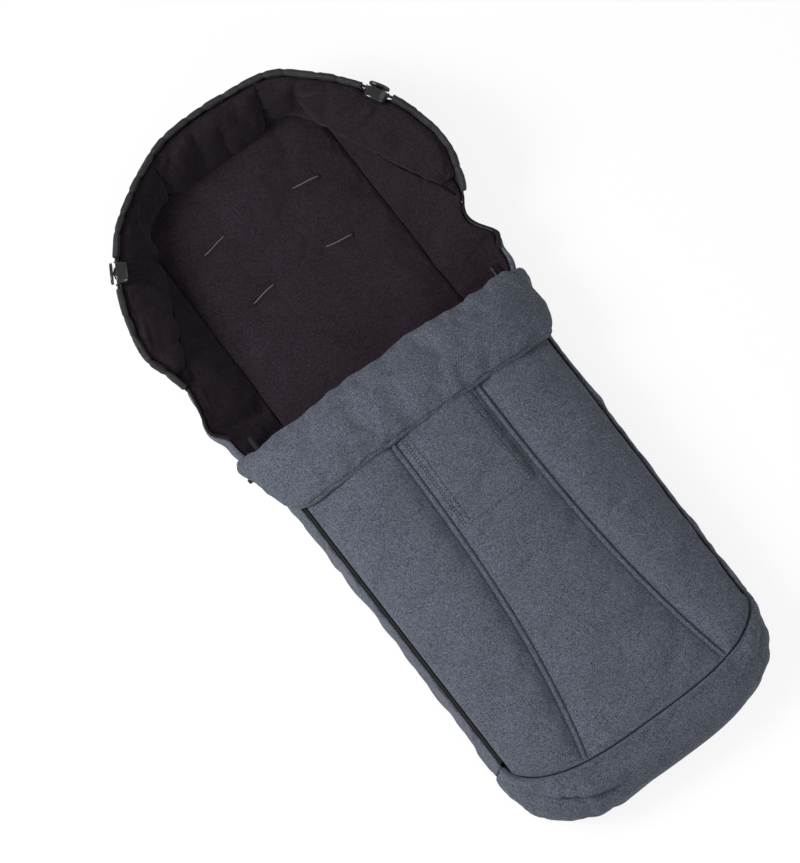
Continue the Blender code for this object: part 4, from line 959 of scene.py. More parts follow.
STITCH_SIDES = 6
STITCH_RADIUS = 0.0006
STITCH_LIFTS = np.array((-0.6, 0.25, 0.55, 0.25, -0.6)) * STITCH_RADIUS
STITCH_SIZES = np.array((0.45, 0.95, 1, 0.95, 0.45)) * STITCH_RADIUS


def stitch_line(path, normals, length, gap):
    """Points and faces of a row of stitches that lie along a path, each a small capsule sunk at its ends."""
    along = distances(path)
    capsule = capped_faces(len(STITCH_SIZES), STITCH_SIDES)
    points, faces = [], []
    for k in range(max(int(along[-1] // (length + gap)), 1)):
        start = k * (length + gap) + gap / 2
        places = np.linspace(start, start + length, len(STITCH_SIZES))
        middle = along_line(places, along, path)
        out = unit_rows(along_line(places, along, normals))
        side = np.cross(out, unit_rows(np.gradient(middle, axis=0)))
        middle = middle + out * STITCH_LIFTS[:, None]
        rings = rings_around(middle, side, out, circle(STITCH_SIDES), STITCH_SIZES[:, None, None])
        faces += shifted(capsule, len(points))
        points += list(rings.reshape(-1, 3))
    return points, faces


def stitches(name, lines, body):
    """One piece holding all the stitches of a seam: lines are pairs of a path and its normals."""
    cloth = bpy.context.scene.footmuff_cloth
    points, faces = [], []
    for path, normals in lines:
        p, f = stitch_line(np.asarray(path), np.asarray(normals), cloth.stitch_length, cloth.stitch_gap)
        faces += shifted(f, len(points))
        points += p
    mesh = bpy.data.meshes.new(name)
    mesh.from_pydata([tuple(p) for p in points], [], faces)
    mesh.update()
    return finish_piece(add_object(name, mesh), finish("thread"), body, levels=0)


def sample(grid, rows, columns):
    """Points of a grid at fractional rows and columns."""
    rows = np.clip(np.asarray(rows, float), 0, grid.shape[0] - 1.0001)
    columns = np.clip(np.asarray(columns, float), 0, grid.shape[1] - 1.0001)
    r, c = rows.astype(int), columns.astype(int)
    fr, fc = (rows - r)[:, None], (columns - c)[:, None]
    low = grid[r, c] * (1 - fc) + grid[r, c + 1] * fc
    high = grid[r + 1, c] * (1 - fc) + grid[r + 1, c + 1] * fc
    return low * (1 - fr) + high * fr


# The finished cover and the pad's edge, kept for the pieces made on them
surfaces = {}


# Cover, patch and cuff


SEAM_OFFSETS = (0.0095, 0.0066, 0.0052, 0.0042, 0.0034, 0.0025, 0.0)
SEAM_LIFTS = (0.0, -0.0012, -0.0026, -0.0034, -0.0032, 0.0004, 0.0012)
SEAM_REACH = len(SEAM_OFFSETS) - 1
# How far the long seams and the patch lie to the right, as a share of the cover's half width
SEAM_SAG = 0.034


def cover_columns(share):
    """Places across the cover at this share of its length, closer together by the long seams."""
    seam = seam_across(share)
    edge = 1 - CLOTH_SET_BACK / COVER_EDGE_PULL
    near = [o / COVER_TOP_PULL for o in SEAM_OFFSETS]
    inner = [seam - n for n in near]
    outer = [seam + n for n in near[-2::-1]]
    half = list(np.linspace(0, inner[0], 12)) + inner[1:] + outer
    edge_run = [edge - d / COVER_EDGE_PULL for d in (0.012, 0.008, 0.005, 0.003, 0.0012, 0)]
    half += list(np.linspace(outer[-1], edge_run[0], 19))[1:] + edge_run[1:]
    columns = np.array([-a for a in half[:0:-1]] + half)
    return columns + SEAM_SAG * (1 - (columns / edge) ** 4)


SEAM_COLUMN = 11 + SEAM_REACH
EDGE_LIFTS = {0: -0.0012, 1: 0.0008, 2: 0.0006}
# How far the cover stands out left of, between and right of its long seams
COVER_PUFFS = (0.0065, 0.0035, 0.0085)
# How far from a seam a cloth reaches its full height
PUFF_REACH = 0.008
PUCKER_SIZE, PUCKER_HEIGHT = 0.007, 0.0007
PUCKER_WEIGHTS = ((5, 0.4), (6, 1), (7, 0.7), (8, 0.3))
SEAM_STITCH_OFFSET = 2.0


def cover_thickness(across):
    """The cover's thickness, which runs out towards its zips."""
    distance = (1 - np.abs(across)) * COVER_EDGE_PULL
    return np.interp(distance, (0.009, 0.014, 0.022, 0.030), (CLOTH, CLOTH * 1.5, 0.008, COVER_THICKNESS))


def cover_relief(grid, y, seams, middle):
    """How far the cover's cloth stands out: full between its seams, drawn in and puckered along them."""
    from_toe, _ = spans(grid, 0)
    from_left, from_right = spans(grid, 1)
    puff, lift, near_seam = (np.zeros(grid.shape[:2]) for _ in range(3))
    firsts = (0, seams[0] + SEAM_REACH, seams[1] + SEAM_REACH)
    lasts = (seams[0] - SEAM_REACH, seams[1] - SEAM_REACH, grid.shape[1] - 1)
    for first, last, height in zip(firsts, lasts, COVER_PUFFS):
        part = slice(first, last + 1)
        left, right = from_left[:, part] - from_left[:, [first]], from_right[:, part] - from_right[:, [last]]
        near = np.minimum(np.minimum(left, right), from_toe[:, part])
        puff[:, part] = pillow(near, height, PUFF_REACH)
    puff *= 0.1 + 0.9 * np.clip((CUFF_FREE_Y - 0.004 - y) / 0.035, 0, 1)
    for seam in seams:
        out = 1 if seam > middle else -1
        for k, height in enumerate(SEAM_LIFTS):
            outer, inner = (height * 1.15, height * 0.75) if height < 0 else (height, height)
            lift[:, seam + out * (SEAM_REACH - k)] = outer
            lift[:, seam - out * (SEAM_REACH - k)] = inner
        for k, weight in PUCKER_WEIGHTS:
            for column in (seam - k, seam + k):
                near_seam[:, column] = np.maximum(near_seam[:, column], weight)
    for column, height in EDGE_LIFTS.items():
        lift[:, column] = height
        lift[:, -1 - column] = height
        lift[column] = height
    puckers = wobble(grid * np.array((0.3, 1, 0.3)), PUCKER_SIZE, PUCKER_HEIGHT, 9.0)
    return puff + lift + puckers * near_seam


def make_cover():
    """The cover's shell with its long seams and their stitches, and the lining under it."""
    cloth = bpy.context.scene.footmuff_cloth
    rows = round((MOUTH_Y - ZIP_FOOT_Y) / cloth.step)
    shares = np.concatenate(([0, 0.0015, 0.004], np.linspace(0.009, 1, rows)))
    across = np.array([cover_columns(share) for share in shares])
    middle = (across.shape[1] - 1) // 2
    seams = (middle - SEAM_COLUMN, middle + SEAM_COLUMN)
    start = seam_y(across) + COVER_TOE_GAP
    y = start + (MOUTH_Y - start) * shares[:, None]
    grid = arch(across, y)
    pinned = held(grid, 3, 1, 3)
    for seam in seams:
        pinned[:, seam - SEAM_REACH : seam + SEAM_REACH + 1] = True
    grid = filled(grid, pinned, cloth.cover_fullness, pressure=2.0, cap=0.006, facing=1, seed=3.0)
    grid = grid + grid_normals(grid) * cover_relief(grid, y, seams, middle)[..., None]
    surfaces["cover"] = (grid, across, y, middle)
    mesh = shell_mesh("cover_shell", grid, arch(across, y, -cover_thickness(across)))
    nodes = ("cover_centre_panel", "cover_side_panel_left", "cover_side_panel_right")
    finish_piece(add_object("cover_shell", mesh), finish("softshell"), "cover", nodes, 1)

    lines = []
    normal = grid_normals(grid)
    every = np.arange(1, grid.shape[0] - 1)
    for seam in seams:
        for offset in (-SEAM_STITCH_OFFSET, SEAM_STITCH_OFFSET):
            columns = np.full(len(every), seam + offset)
            lines.append((sample(grid, every, columns), sample(normal, every, columns)))
    stitches("cover_seam_stitches", lines, "cover")
    make_cover_lining(cloth.lining_fullness)


def make_cover_lining(fullness):
    steps, seam = 30, 9
    across = np.linspace(-1, 1, 2 * steps + 1) * (1 - LINING_SET_BACK / COVER_EDGE_PULL)
    across, share = np.meshgrid(across, np.linspace(0, 1, 60))
    start = seam_y(across) + COVER_LINING_TOE_GAP
    y = start + (MOUTH_Y - start) * share
    top = np.maximum(0.0064, cover_thickness(across) + 2 * GAP)
    outer = arch(across, y, -top)
    inner = arch(across, y, -top - COVER_LINING_THICKNESS)
    pinned = held(inner)
    pinned[:, steps - seam], pinned[:, steps + seam] = True, True
    inner = filled(inner, pinned, fullness, pressure=1.5, cap=0.006, facing=-1, seed=5.0)
    obj = add_object("cover_fleece_lining", shell_mesh("cover_fleece_lining", outer, inner))
    finish_piece(obj, finish("fleece"), "cover", ("cover_lining",), 1)


def on_cover(x_share, y, height):
    """Points over the finished cover, found by its own place across and along."""
    grid, across, ys, middle = surfaces["cover"]
    rows = np.array([np.interp(v, ys[:, middle], np.arange(len(ys))) for v in y])
    columns = np.interp(x_share, across[-1], np.arange(across.shape[1]))
    return sample(grid, rows, columns) + sample(grid_normals(grid), rows, columns) * height


def make_patch():
    """The bare patch under the cuff: a thin double cloth, pressed in along its stitches."""
    columns, rows = 46, 76
    across = np.linspace(-PATCH_HALF_WIDTH_SHARE, PATCH_HALF_WIDTH_SHARE, columns)
    ys = np.linspace(PATCH_FOOT_Y, MOUTH_Y - CLOTH, rows)
    a, y = np.meshgrid(across, ys)
    beside = (PATCH_HALF_WIDTH_SHARE - np.abs(a)) * COVER_TOP_PULL
    edge = np.minimum(beside, y - PATCH_FOOT_Y)
    height = 0.0004 + 0.0008 * np.clip(edge / 0.0015, 0, 1)
    height -= 0.0009 * np.exp(-(((beside - 0.0042) / 0.0014) ** 2))
    height = height + wobble(np.stack((a * 0.2, y, 0 * y), -1), 0.03, 0.0003, 4.0)
    top = on_cover(a.ravel() + SEAM_SAG, y.ravel(), height.ravel()[:, None]).reshape(rows, columns, 3)
    base = on_cover(a.ravel() + SEAM_SAG, y.ravel(), -0.0002).reshape(rows, columns, 3)
    obj = add_object("cover_patch", shell_mesh("cover_patch", top, base))
    finish_piece(obj, finish("softshell"), "cover", ("pocket_patch",), 1)
    normal = grid_normals(top)
    lines = []
    every = np.arange(1, rows - 1)
    for inset in (0.6, 1.8, 4.4):
        for column in (inset, columns - 1 - inset):
            place = np.full(len(every), column)
            lines.append((sample(top, every, place), sample(normal, every, place)))
    stitches("cover_patch_stitches", lines, "cover")


def make_cuff():
    """The turned-down cuff: a thick double fold with a wavy upper edge, its free edge topstitched."""
    columns, rows, seam_row = 150, 34, 4
    reach = 1 + (CUFF_WRAP + 0.0025) / COVER_EDGE_PULL
    spread = np.sin(np.linspace(-1, 1, columns) * math.pi / 2 * 0.97) / math.sin(math.pi / 2 * 0.97)
    a, s = np.meshgrid(spread * reach, 0.5 - np.cos(np.linspace(0, math.pi, rows)) / 2)
    end = np.abs(a) / reach
    left, right = np.clip(-a / reach, 0, 1), np.clip(a / reach, 0, 1)
    free = CUFF_FREE_Y + CUFF_END_RISE * end**6 + 0.004 * left**5 - 0.008 * right**5
    head = MOUTH_Y + CUFF_HEAD_RISE * end**4 + 0.004 * left**4 + 0.001 * right**6
    line = np.stack((a * 0.20, 0 * a, 0 * a), -1)
    calm = 1 - end**6
    head = head + (wobble(line, 0.021, 0.0040, 11.0) + wobble(line, 0.07, 0.005, 17.0)) * calm
    free = free + wobble(line, 0.045, 0.003, 23.0) * calm
    y = free + (head - free) * (0.5 + (s - 0.5) * (1 - 0.22 * end**30))
    stand_off = CUFF_STAND_OFF + (CUFF_SIDE_STAND_OFF - CUFF_STAND_OFF) * end**2
    puff = np.clip(1 - np.abs(2 * s - 1) ** 5, 0, 1) ** 0.5 * np.clip(1 - end**40, 0, 1) ** 0.5
    low = arch(a, y, stand_off + 0.0008)
    high = arch(a, y, stand_off + 0.0012 + (CUFF_THICKNESS - 0.0012) * puff)
    pinned = held(high, 1, 1, 2)
    pinned[seam_row] = True
    high = filled(high, pinned, 0.03, pressure=2.2, cap=0.006, facing=1, seed=7.0)
    to_left, to_right = left**7, right**9
    pull = np.interp(s, (0, 0.25, 0.5, 0.8, 1), (15, 5, -3, -8, -4)) * to_left
    pull = pull + np.interp(s, (0, 0.3, 1), (-15, -4, 4)) * to_right
    lean = np.interp(s, (0, 0.5, 1), (8, 6, 4)) * to_left + np.interp(s, (0, 0.5), (4, 0)) * to_right
    slant = np.stack((pull, lean, 0 * pull), -1) * MM
    high, low = high + slant, low + slant
    normal = grid_normals(high)
    seam = np.exp(-(((np.arange(rows) - seam_row) / 0.8) ** 2))[:, None]
    ripples = wobble(high, 0.012, 0.0011, 31.0) * np.clip(np.abs(2 * s - 1) ** 3, 0, 1)
    high = high + normal * (ripples - 0.0016 * seam)[..., None]
    mesh = shell_mesh("turned_cuff", high, low)
    nodes = ("cuff_back", "cuff_face")
    finish_piece(add_object("turned_cuff", mesh), finish("softshell"), CUFF_FOLD, nodes, 1)
    normal = grid_normals(high)
    place = np.linspace(2, columns - 3, 600)
    row = np.full(len(place), float(seam_row))
    stitches("cuff_stitches", [(sample(high, row, place), sample(normal, row, place))], "cuff")


# Outer walls


def even_places(guide, first, last, step, samples):
    """Places from first to last with even steps of length along a guide."""
    fine = np.linspace(first, last, samples)
    along = distances(np.array([guide_point(guide, p) for p in fine]))
    return np.interp(np.linspace(0, along[-1], max(round(along[-1] / step), 4) + 1), along, fine)


def wall_places(first, last, step):
    return even_places("bulge", first, last, step, 400)


def near_ends(places):
    """The places with one more column close beside each end, so that the ends stay square."""
    first, last = places[1] - places[0], places[-1] - places[-2]
    return np.concatenate((
        [places[0], places[0] + first * 0.12, places[0] + first * 0.4], places[1:-1],
        [places[-1] - last * 0.4, places[-1] - last * 0.12, places[-1]]))


def wall_panel(places, margins, fullness, cap, seed, rows=26, hold=2, gathered=True):
    """Outer and inner faces of a cloth wall from the back panel to its top edge, and the outer's normals."""
    shares = np.concatenate(([0, 0.012], np.linspace(0.035, 0.95, rows), [0.975, 0.992, 1]))
    tops = np.array([top_rise(p, m) for p, m in zip(places, margins)])
    rises = shares[:, None] * tops
    outer = wall_grid(places, rises)
    inner = wall_grid(places, rises, CLOTH * 0.8)
    outer = filled(outer, held(outer, hold, hold), fullness, pressure=1.6, cap=cap, facing=1, seed=seed)
    normal = grid_normals(outer)
    lift = np.zeros(outer.shape[:2])
    lift[-1], lift[-2], lift[-3], lift[0] = -0.0012, 0.0004, 0.0003, -0.0012
    if gathered:
        gathers = wobble(outer * np.array((0.35, 1, 0.2)), 0.009, 0.0018, seed + 2)
        fade = np.clip((shares - 0.45) / 0.5, 0, 1) * np.clip((1 - shares) / 0.02, 0.25, 1)
        lift = lift + gathers * fade[:, None]
    outer = outer + normal * lift[..., None]
    return outer, inner, normal


def mirror_grid(grid):
    return grid[:, ::-1] * MIRROR


def piece_from(name, outer, inner, material, nodes, body="muff", levels=1):
    mesh = shell_mesh(name, askew(outer), askew(inner))
    return finish_piece(add_object(name, mesh), finish(material), body, nodes, levels)


def make_side_walls():
    cloth = bpy.context.scene.footmuff_cloth
    foot = GAP / (ZIP_HEAD_Y - ZIP_FOOT_Y)
    places = np.concatenate((
        np.linspace(ZIP_FOOT + foot, ZIP_HEAD, round((ZIP_HEAD_Y - ZIP_FOOT_Y) / cloth.step) + 1),
        wall_places(ZIP_HEAD, NOTCH - 0.003, cloth.step)[1:],
    ))
    margins = [CLOTH_SET_BACK * float(np.clip(1 - (p - ZIP_HEAD) * 1.5, 0, 1)) for p in places]
    for side, seed in (("right", 21.0), ("left", 27.0)):
        outer, inner, _ = wall_panel(places, margins, cloth.wall_fullness, 0.0018, seed)
        if side == "left":
            outer, inner = mirror_grid(outer), mirror_grid(inner)
        piece_from(f"side_wall_cloth_{side}", outer, inner, "softshell", (f"side_wall_{side}",))


# How far the toe cap stands out: degrees from +X towards +Y about (0, TOE_TURN_Y), and millimetres there
TOE_TURN_Y = -0.32
TOE_SWELL = (
    (190, 200, 210, 220, 230, 240, 250, 260, 280, 290, 300, 310, 320, 330, 340, 350),
    (0, 4, 11, 17.5, 13.5, 6, 0, -6, -10, -9.5, -5.5, 1, 6.5, 4.5, 1, 0),
)

# Where the fold's edge lies, from the line of the fold
FOLD_LINE = -0.0006


def make_toe_cap():
    """The toe cap, folded over itself below the seam on both sides of the toe."""
    cloth = bpy.context.scene.footmuff_cloth
    half = np.concatenate((np.linspace(0, 0.93, 48), [0.95, 0.965, 0.98, 0.99, 1]))
    places = np.concatenate((-half[:0:-1], half))
    margins = [GAP] * len(places)
    outer, inner, normal = wall_panel(
        places, margins, cloth.wall_fullness, 0.003, 31.0, rows=72, hold=3, gathered=False
    )
    rise, _ = spans(outer, 0)
    total = rise[-1]
    side = np.abs(places)
    fold_share = np.interp(side, (0.3, 0.5, 0.7, 0.85, 0.95, 1), (0.64, 0.73, 0.82, 0.88, 0.90, 0.90))
    past = rise - (fold_share * total)[None, :]
    left = np.interp(side, (0.22, 0.45, 0.97, 1), (0, 1, 1, 0.6))
    right = np.interp(side, (0.48, 0.68, 0.97, 1), (0, 1, 1, 0.6))
    strength = np.where(places < 0, left, right)[None, :]
    over = 0.0060 * np.exp(-(((past - 0.005) / 0.008) ** 2)) * (past > FOLD_LINE)
    under = -0.0150 * np.exp(np.minimum(past, 0) / 0.011) * (past <= FOLD_LINE)
    beside = np.interp(side, (0.5, 0.75, 0.92, 1), (0, 1, 0.6, 0))
    sag = -0.003 * np.exp(-(((rise / total - 0.35) / 0.12) ** 2)) * beside
    middle = outer[len(outer) // 2]
    around = np.degrees(np.arctan2(-(middle[:, 1] - TOE_TURN_Y), -middle[:, 0])) + 180
    swell = np.interp(around, *TOE_SWELL) * MM
    swell = swell * np.sin(math.pi * np.clip(rise / total, 0, 1)) ** 1.5
    climb = unit_rows(np.gradient(outer, axis=0))
    hang = 0.0085 * np.exp(-((past / 0.006) ** 2)) * (past > FOLD_LINE) * strength
    outer = outer + normal * (strength * (over + under) + sag + swell)[..., None] - climb * hang[..., None]
    piece_from("toe_cap_cloth", outer, inner, "softshell", ("toe_cap",))


def make_hood_panels():
    cloth = bpy.context.scene.footmuff_cloth
    beside = wall_places(NOTCH + 0.003, HEAD_SEAM - 0.003, cloth.step)
    head = wall_places(HEAD_SEAM + 0.003, 2 * HEAD_MIDDLE - HEAD_SEAM - 0.003, cloth.step)
    for name, node, places, seed in (
        ("hood_side_nylon_right", "hood_side_panel_right", beside, 41.0),
        ("hood_side_nylon_left", "hood_side_panel_left", beside, 45.0),
        ("hood_head_nylon", "hood_head_panel", head, 49.0),
    ):
        outer, inner, _ = wall_panel(places, [rim_margin(p) for p in places], 0.03, 0.006, seed)
        if name.endswith("left"):
            outer, inner = mirror_grid(outer), mirror_grid(inner)
        piece_from(name, outer, inner, "nylon", (node,))


# Linings


# Creases pressed into the hood's linings: two points in plan, a depth and a width
HOOD_CREASES = {
    "right": (
        ((0.200, 0.372), (0.172, 0.365), 0.0045, 0.0030), ((0.187, 0.378), (0.167, 0.379), 0.0035, 0.0025),
        ((0.169, 0.401), (0.149, 0.390), 0.0040, 0.0030), ((0.196, 0.345), (0.168, 0.348), 0.0020, 0.0030),
    ),
    "left": (
        ((-0.127, 0.424), (-0.124, 0.403), 0.0030, 0.0030),
        ((-0.150, 0.400), (-0.129, 0.364), 0.0030, 0.0035),
        ((-0.185, 0.372), (-0.160, 0.352), 0.0025, 0.0030),
    ),
    "head": (
        ((0.128, 0.486), (0.101, 0.443), 0.0055, 0.0035), ((-0.034, 0.510), (-0.035, 0.455), 0.0030, 0.0030),
        ((0.060, 0.505), (0.045, 0.470), 0.0018, 0.0040), ((-0.080, 0.495), (-0.068, 0.462), 0.0018, 0.0040),
    ),
}


def lining_margin(place):
    place = folded(place)
    if place <= ZIP_HEAD:
        return LINING_SET_BACK
    if place < NOTCH:
        return LINING_SET_BACK + (CLOTH - LINING_SET_BACK) * min(place - ZIP_HEAD, 1)
    return rim_margin(place)


def gusset_top(place):
    return float(np.interp(place, (4, 4.667, 5, 6, 7, 7.333, 8), (1, 0.667, 0.555, 0.4, 0.27, 0.18, 0)))


def lining_grids(places, shares):
    """Outer and inner faces of the lining: shares holds a row of shares of the rise for each place."""
    knee = 0.14
    outer = np.empty(shares.shape + (3,))
    inner = np.empty(shares.shape + (3,))
    for k, place in enumerate(places):
        p = folded(place)
        bottom = rise_at_height(p, PAD_BOTTOM + LINING_GAP)
        top = top_rise(p, lining_margin(p))
        near_zip = 0.006 if p <= ZIP_HEAD + 0.5 else 0
        share = shares[:, k]
        depth = np.maximum(CLOTH + LINING_GAP, near_zip * share**2)
        outer[:, k] = wall_grid([p], (bottom + (top - bottom) * share)[:, None], depth[:, None])[:, 0]
        edge = guide_point("pad", p)
        crest = np.array((edge[0], edge[1], PAD_TOP - PAD_EDGE_ROUND))
        base = max(CLOTH + LINING_GAP, near_zip)
        end = wall_grid([p], np.array([[top]]), base + LINING_TOP_THICKNESS)[0, 0]
        inward = np.array((edge[0] - end[0], edge[1] - end[1], 0))
        inward *= LINING_SWELL / np.linalg.norm(inward)
        local = np.clip((share - knee) / (1 - knee), 0, 1)[:, None]
        low = edge + (crest - edge) * np.clip(share / knee, 0, 1)[:, None]
        high = crest + (end - crest) * local + inward * 4 * local * (1 - local)
        inner[:, k] = np.where((share <= knee)[:, None], low, high)
        if place < 0 or place > HEAD_MIDDLE:
            outer[:, k] *= MIRROR
            inner[:, k] *= MIRROR
    return outer, inner


def lining_piece(
    name, places, low, high, node, fullness, cap, seed, rows=24, mirror=False, roll=0.0, creases=()
):
    """A lining, filled by the cloth simulation and padded out further by its roll, with creases in it."""
    steps = np.concatenate(([0, 0.07, 0.14], np.linspace(0.17, 0.97, rows), [1]))
    places = near_ends(places)
    lows = np.array([low(p) for p in places])
    highs = np.array([high(p) for p in places])
    shares = lows + (highs - lows) * steps[:, None]
    outer, inner = lining_grids(places, shares)
    if mirror:
        outer, inner = mirror_grid(outer), mirror_grid(inner)
        shares = shares[:, ::-1]
    pinned = held(inner) | (shares <= 0.15)
    inner = filled(inner, pinned, fullness, pressure=2.2, cap=cap, facing=-1, seed=seed)
    normal = -grid_normals(inner)
    if roll:
        from_foot, from_top = spans(inner, 0)
        from_left, from_right = spans(inner, 1)
        beside = np.minimum(from_left, from_right)
        low_down = 0.6 + 0.4 * np.exp(-((from_foot / 0.04) ** 2))
        fullest = pillow(np.minimum(from_foot * 1.5, from_top), roll, PUFF_REACH)
        fullest = fullest * pillow(beside, 1, PUFF_REACH) * low_down
        inner = inner + normal * fullest[..., None]
        inner = inner + normal * (wobble(inner, 0.02, 0.0020, seed + 1) * (fullest / roll))[..., None]
    inner = creased(inner, normal, creases)
    # The lining finish is the pad's fleece darkened: painted shade of the muff's inner walls
    piece_from(name, outer, inner, "lining", (node,))


def piping(name, points, radius=0.0012, material="seam", closed=False):
    """A thin bound seam along a line of points."""
    points = np.asarray(points)
    if closed:
        forward = np.roll(points, -1, 0) - np.roll(points, 1, 0)
    else:
        forward = np.gradient(points, axis=0)
    forward = unit_rows(forward)
    side = unit_rows(np.cross(forward, (0, 0, 1.0)))
    sides, count = 8, len(points)
    rings = rings_around(points, side, np.cross(side, forward), circle(sides), radius)
    faces = ring_faces(count, sides, closed=True) if closed else capped_faces(count, sides)
    obj = add_object(name, mesh_from(name, askew(rings).reshape(-1, 3), faces))
    return finish_piece(obj, finish(material), "muff", levels=1)


def pad_edge(toe_count, zip_count):
    """Points along the right half of the pad's edge."""
    toe, beside_zip = np.linspace(0.02, 1, toe_count), np.linspace(1, 2, zip_count)[1:]
    places = np.concatenate((toe, beside_zip, np.linspace(2, 9.98, 120)[1:]))
    return np.array([guide_point("pad", p) for p in places])


def seam_bindings():
    """Bindings in the seams between the linings, and between them and the pad; all but the waist's are
    near-black fleece, painted shade of the seams' crevices.
    """
    wing = wall_places(NOTCH + 0.05, CORNER - 0.4, 0.006)
    waist = wall_places(ZIP_HEAD + 0.12, NOTCH, 0.006)
    for name, hand in (("right", 1), ("left", -1)):
        line = []
        for p in waist:
            rise = np.array([[top_rise(p, 0)]])
            line.append((wall_grid([p], rise)[0, 0] + wall_grid([p], rise, CLOTH)[0, 0]) / 2)
        piping(f"waist_binding_{name}", np.array(line) * (hand, 1, 1), 0.0021, "lining")
        line = [lining_grids([p], np.array([[gusset_top(p)]]))[1][0, 0] for p in wing]
        piping(f"gusset_binding_{name}", np.array(line) * (hand, 1, 1), 0.0016)
        rise = np.linspace(0.10, 0.97, 16)
        line = lining_grids([HEAD_SEAM], rise[:, None])[1][:, 0]
        piping(f"head_seam_binding_{name}", line * (hand, 1, 1), 0.0014)
    # The pad's binding is near-black: painted shade where the linings meet the pad
    edge = pad_edge(40, 60)
    edge[:, 2] = PAD_TOP - 0.0058
    piping("pad_binding", np.concatenate((edge, edge[::-1] * MIRROR)), 0.0016, closed=True)


def make_linings():
    cloth = bpy.context.scene.footmuff_cloth
    full = cloth.lining_fullness
    half = np.concatenate((np.linspace(0, 0.93, 28), [0.955, 0.975, 0.99, 1]))
    toe = np.concatenate((-half[:0:-1], half))
    lining_piece("toe_fleece", toe, lambda p: 0, lambda p: 1, "toe_lining", full, 0.008, 61.0)
    seam = 0.0035
    last = CORNER - 1 / 3
    foot = GAP / (ZIP_HEAD_Y - ZIP_FOOT_Y)
    side = np.concatenate((
        np.linspace(ZIP_FOOT + foot, ZIP_HEAD, 80), wall_places(ZIP_HEAD, last, 0.0065)[1:]))
    wing = wall_places(NOTCH + 1 / 3, HEAD_SEAM - 0.0015, 0.0060)
    head = wall_places(HEAD_SEAM + 0.0015, 2 * HEAD_MIDDLE - HEAD_SEAM - 0.0015, 0.0060)
    for name, seed in (("right", 65.0), ("left", 71.0)):
        flip = name == "left"
        lining_piece(
            f"side_fleece_{name}", side, lambda p: 0, lambda p: gusset_top(p) - seam,
            f"side_lining_{name}", full, 0.008, seed, mirror=flip,
        )
        lining_piece(
            f"hood_side_fleece_{name}", wing,
            lambda p: max(gusset_top(p), 0) + (seam if p <= last else 0), lambda p: 1,
            f"hood_side_lining_{name}", full * 1.2, 0.008, seed + 3, mirror=flip,
            roll=0.011, creases=HOOD_CREASES[name],
        )
    lining_piece(
        "hood_head_fleece", head, lambda p: 0, lambda p: 1, "hood_head_lining", full * 1.2, 0.009, 77.0,
        roll=0.019, creases=HOOD_CREASES["head"],
    )
    seam_bindings()


# Back and seat pad


def pad_half_width(y):
    """Half the pad's width at this y, from its edge line."""
    if "pad_edge" not in surfaces:
        surfaces["pad_edge"] = pad_edge(60, 20)
    edge = surfaces["pad_edge"]
    return np.interp(y, edge[:, 1], edge[:, 0])


def make_seat_pad():
    """The fleece pad: crowned, its sides drawn in, with slots and a stitched line across its head end."""
    low_y, high_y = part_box("seat_pad")[0][1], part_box("seat_pad")[1][1]
    middle, reach = (low_y + high_y) / 2, (high_y - low_y) / 2
    rows = 170
    t = np.sin(np.linspace(-1, 1, rows) * math.pi / 2)
    t = 0.35 * t + 0.65 * np.linspace(-1, 1, rows)
    ys = middle + t * (reach - 0.0012)
    halves = pad_half_width(ys) - 0.0006
    insets = np.array((0, 0.0008, 0.002, 0.004, 0.0065, 0.010, 0.0145))
    inner = np.linspace(0, 1, 24)
    columns = np.concatenate((inner[None, :] * (halves - 0.0195)[:, None], halves[:, None] - insets[::-1]), 1)
    x = np.concatenate((-columns[:, :0:-1], columns), 1)
    u = x / halves[:, None]
    y = np.repeat(ys[:, None], x.shape[1], 1)
    z = PAD_TOP + PAD_CROWN * (1 - u**2) * (1 - np.abs(t[:, None]) ** 6)
    edge = np.minimum(halves[:, None] - np.abs(x), (reach - np.abs(ys - middle))[:, None])
    z = z - 0.0042 * np.exp(-(np.maximum(edge, 0) / 0.004))
    grid = np.stack((x, y, z), -1)
    slot_near = np.full(grid.shape[:2], 1.0)
    for sx, sy, slant in SLOTS.values():
        dx, dy = x - sx, y - sy
        along = dx * math.cos(slant) + dy * math.sin(slant)
        across = -dx * math.sin(slant) + dy * math.cos(slant)
        distance = np.hypot(np.maximum(np.abs(along) - SLOT_LENGTH / 2, 0), across)
        slot_near = np.minimum(slot_near, distance)
    pinned = held(grid, 2, 2, 4) | (slot_near < 0.004)
    grid = filled(grid, pinned, 0.012, pressure=1.6, cap=0.005, facing=1, seed=81.0)
    grid[..., 2] -= 0.0018 * np.exp(-((slot_near / 0.007) ** 2))
    arc = 0.357 + 0.026 * np.cos(grid[..., 0] / 0.052 * math.pi / 2)
    line = (grid[..., 1] - arc) / 0.0035
    inside = np.clip((0.050 - np.abs(grid[..., 0])) / 0.01, 0, 1)
    grid[..., 2] -= 0.0011 * np.exp(-(line**2)) * inside
    base = np.stack((x * 0.985, middle + (y - middle) * 0.996, np.full_like(z, PAD_BOTTOM)), -1)
    return piece_from("pad_fleece", grid, base, "fleece", ("seat_pad",))


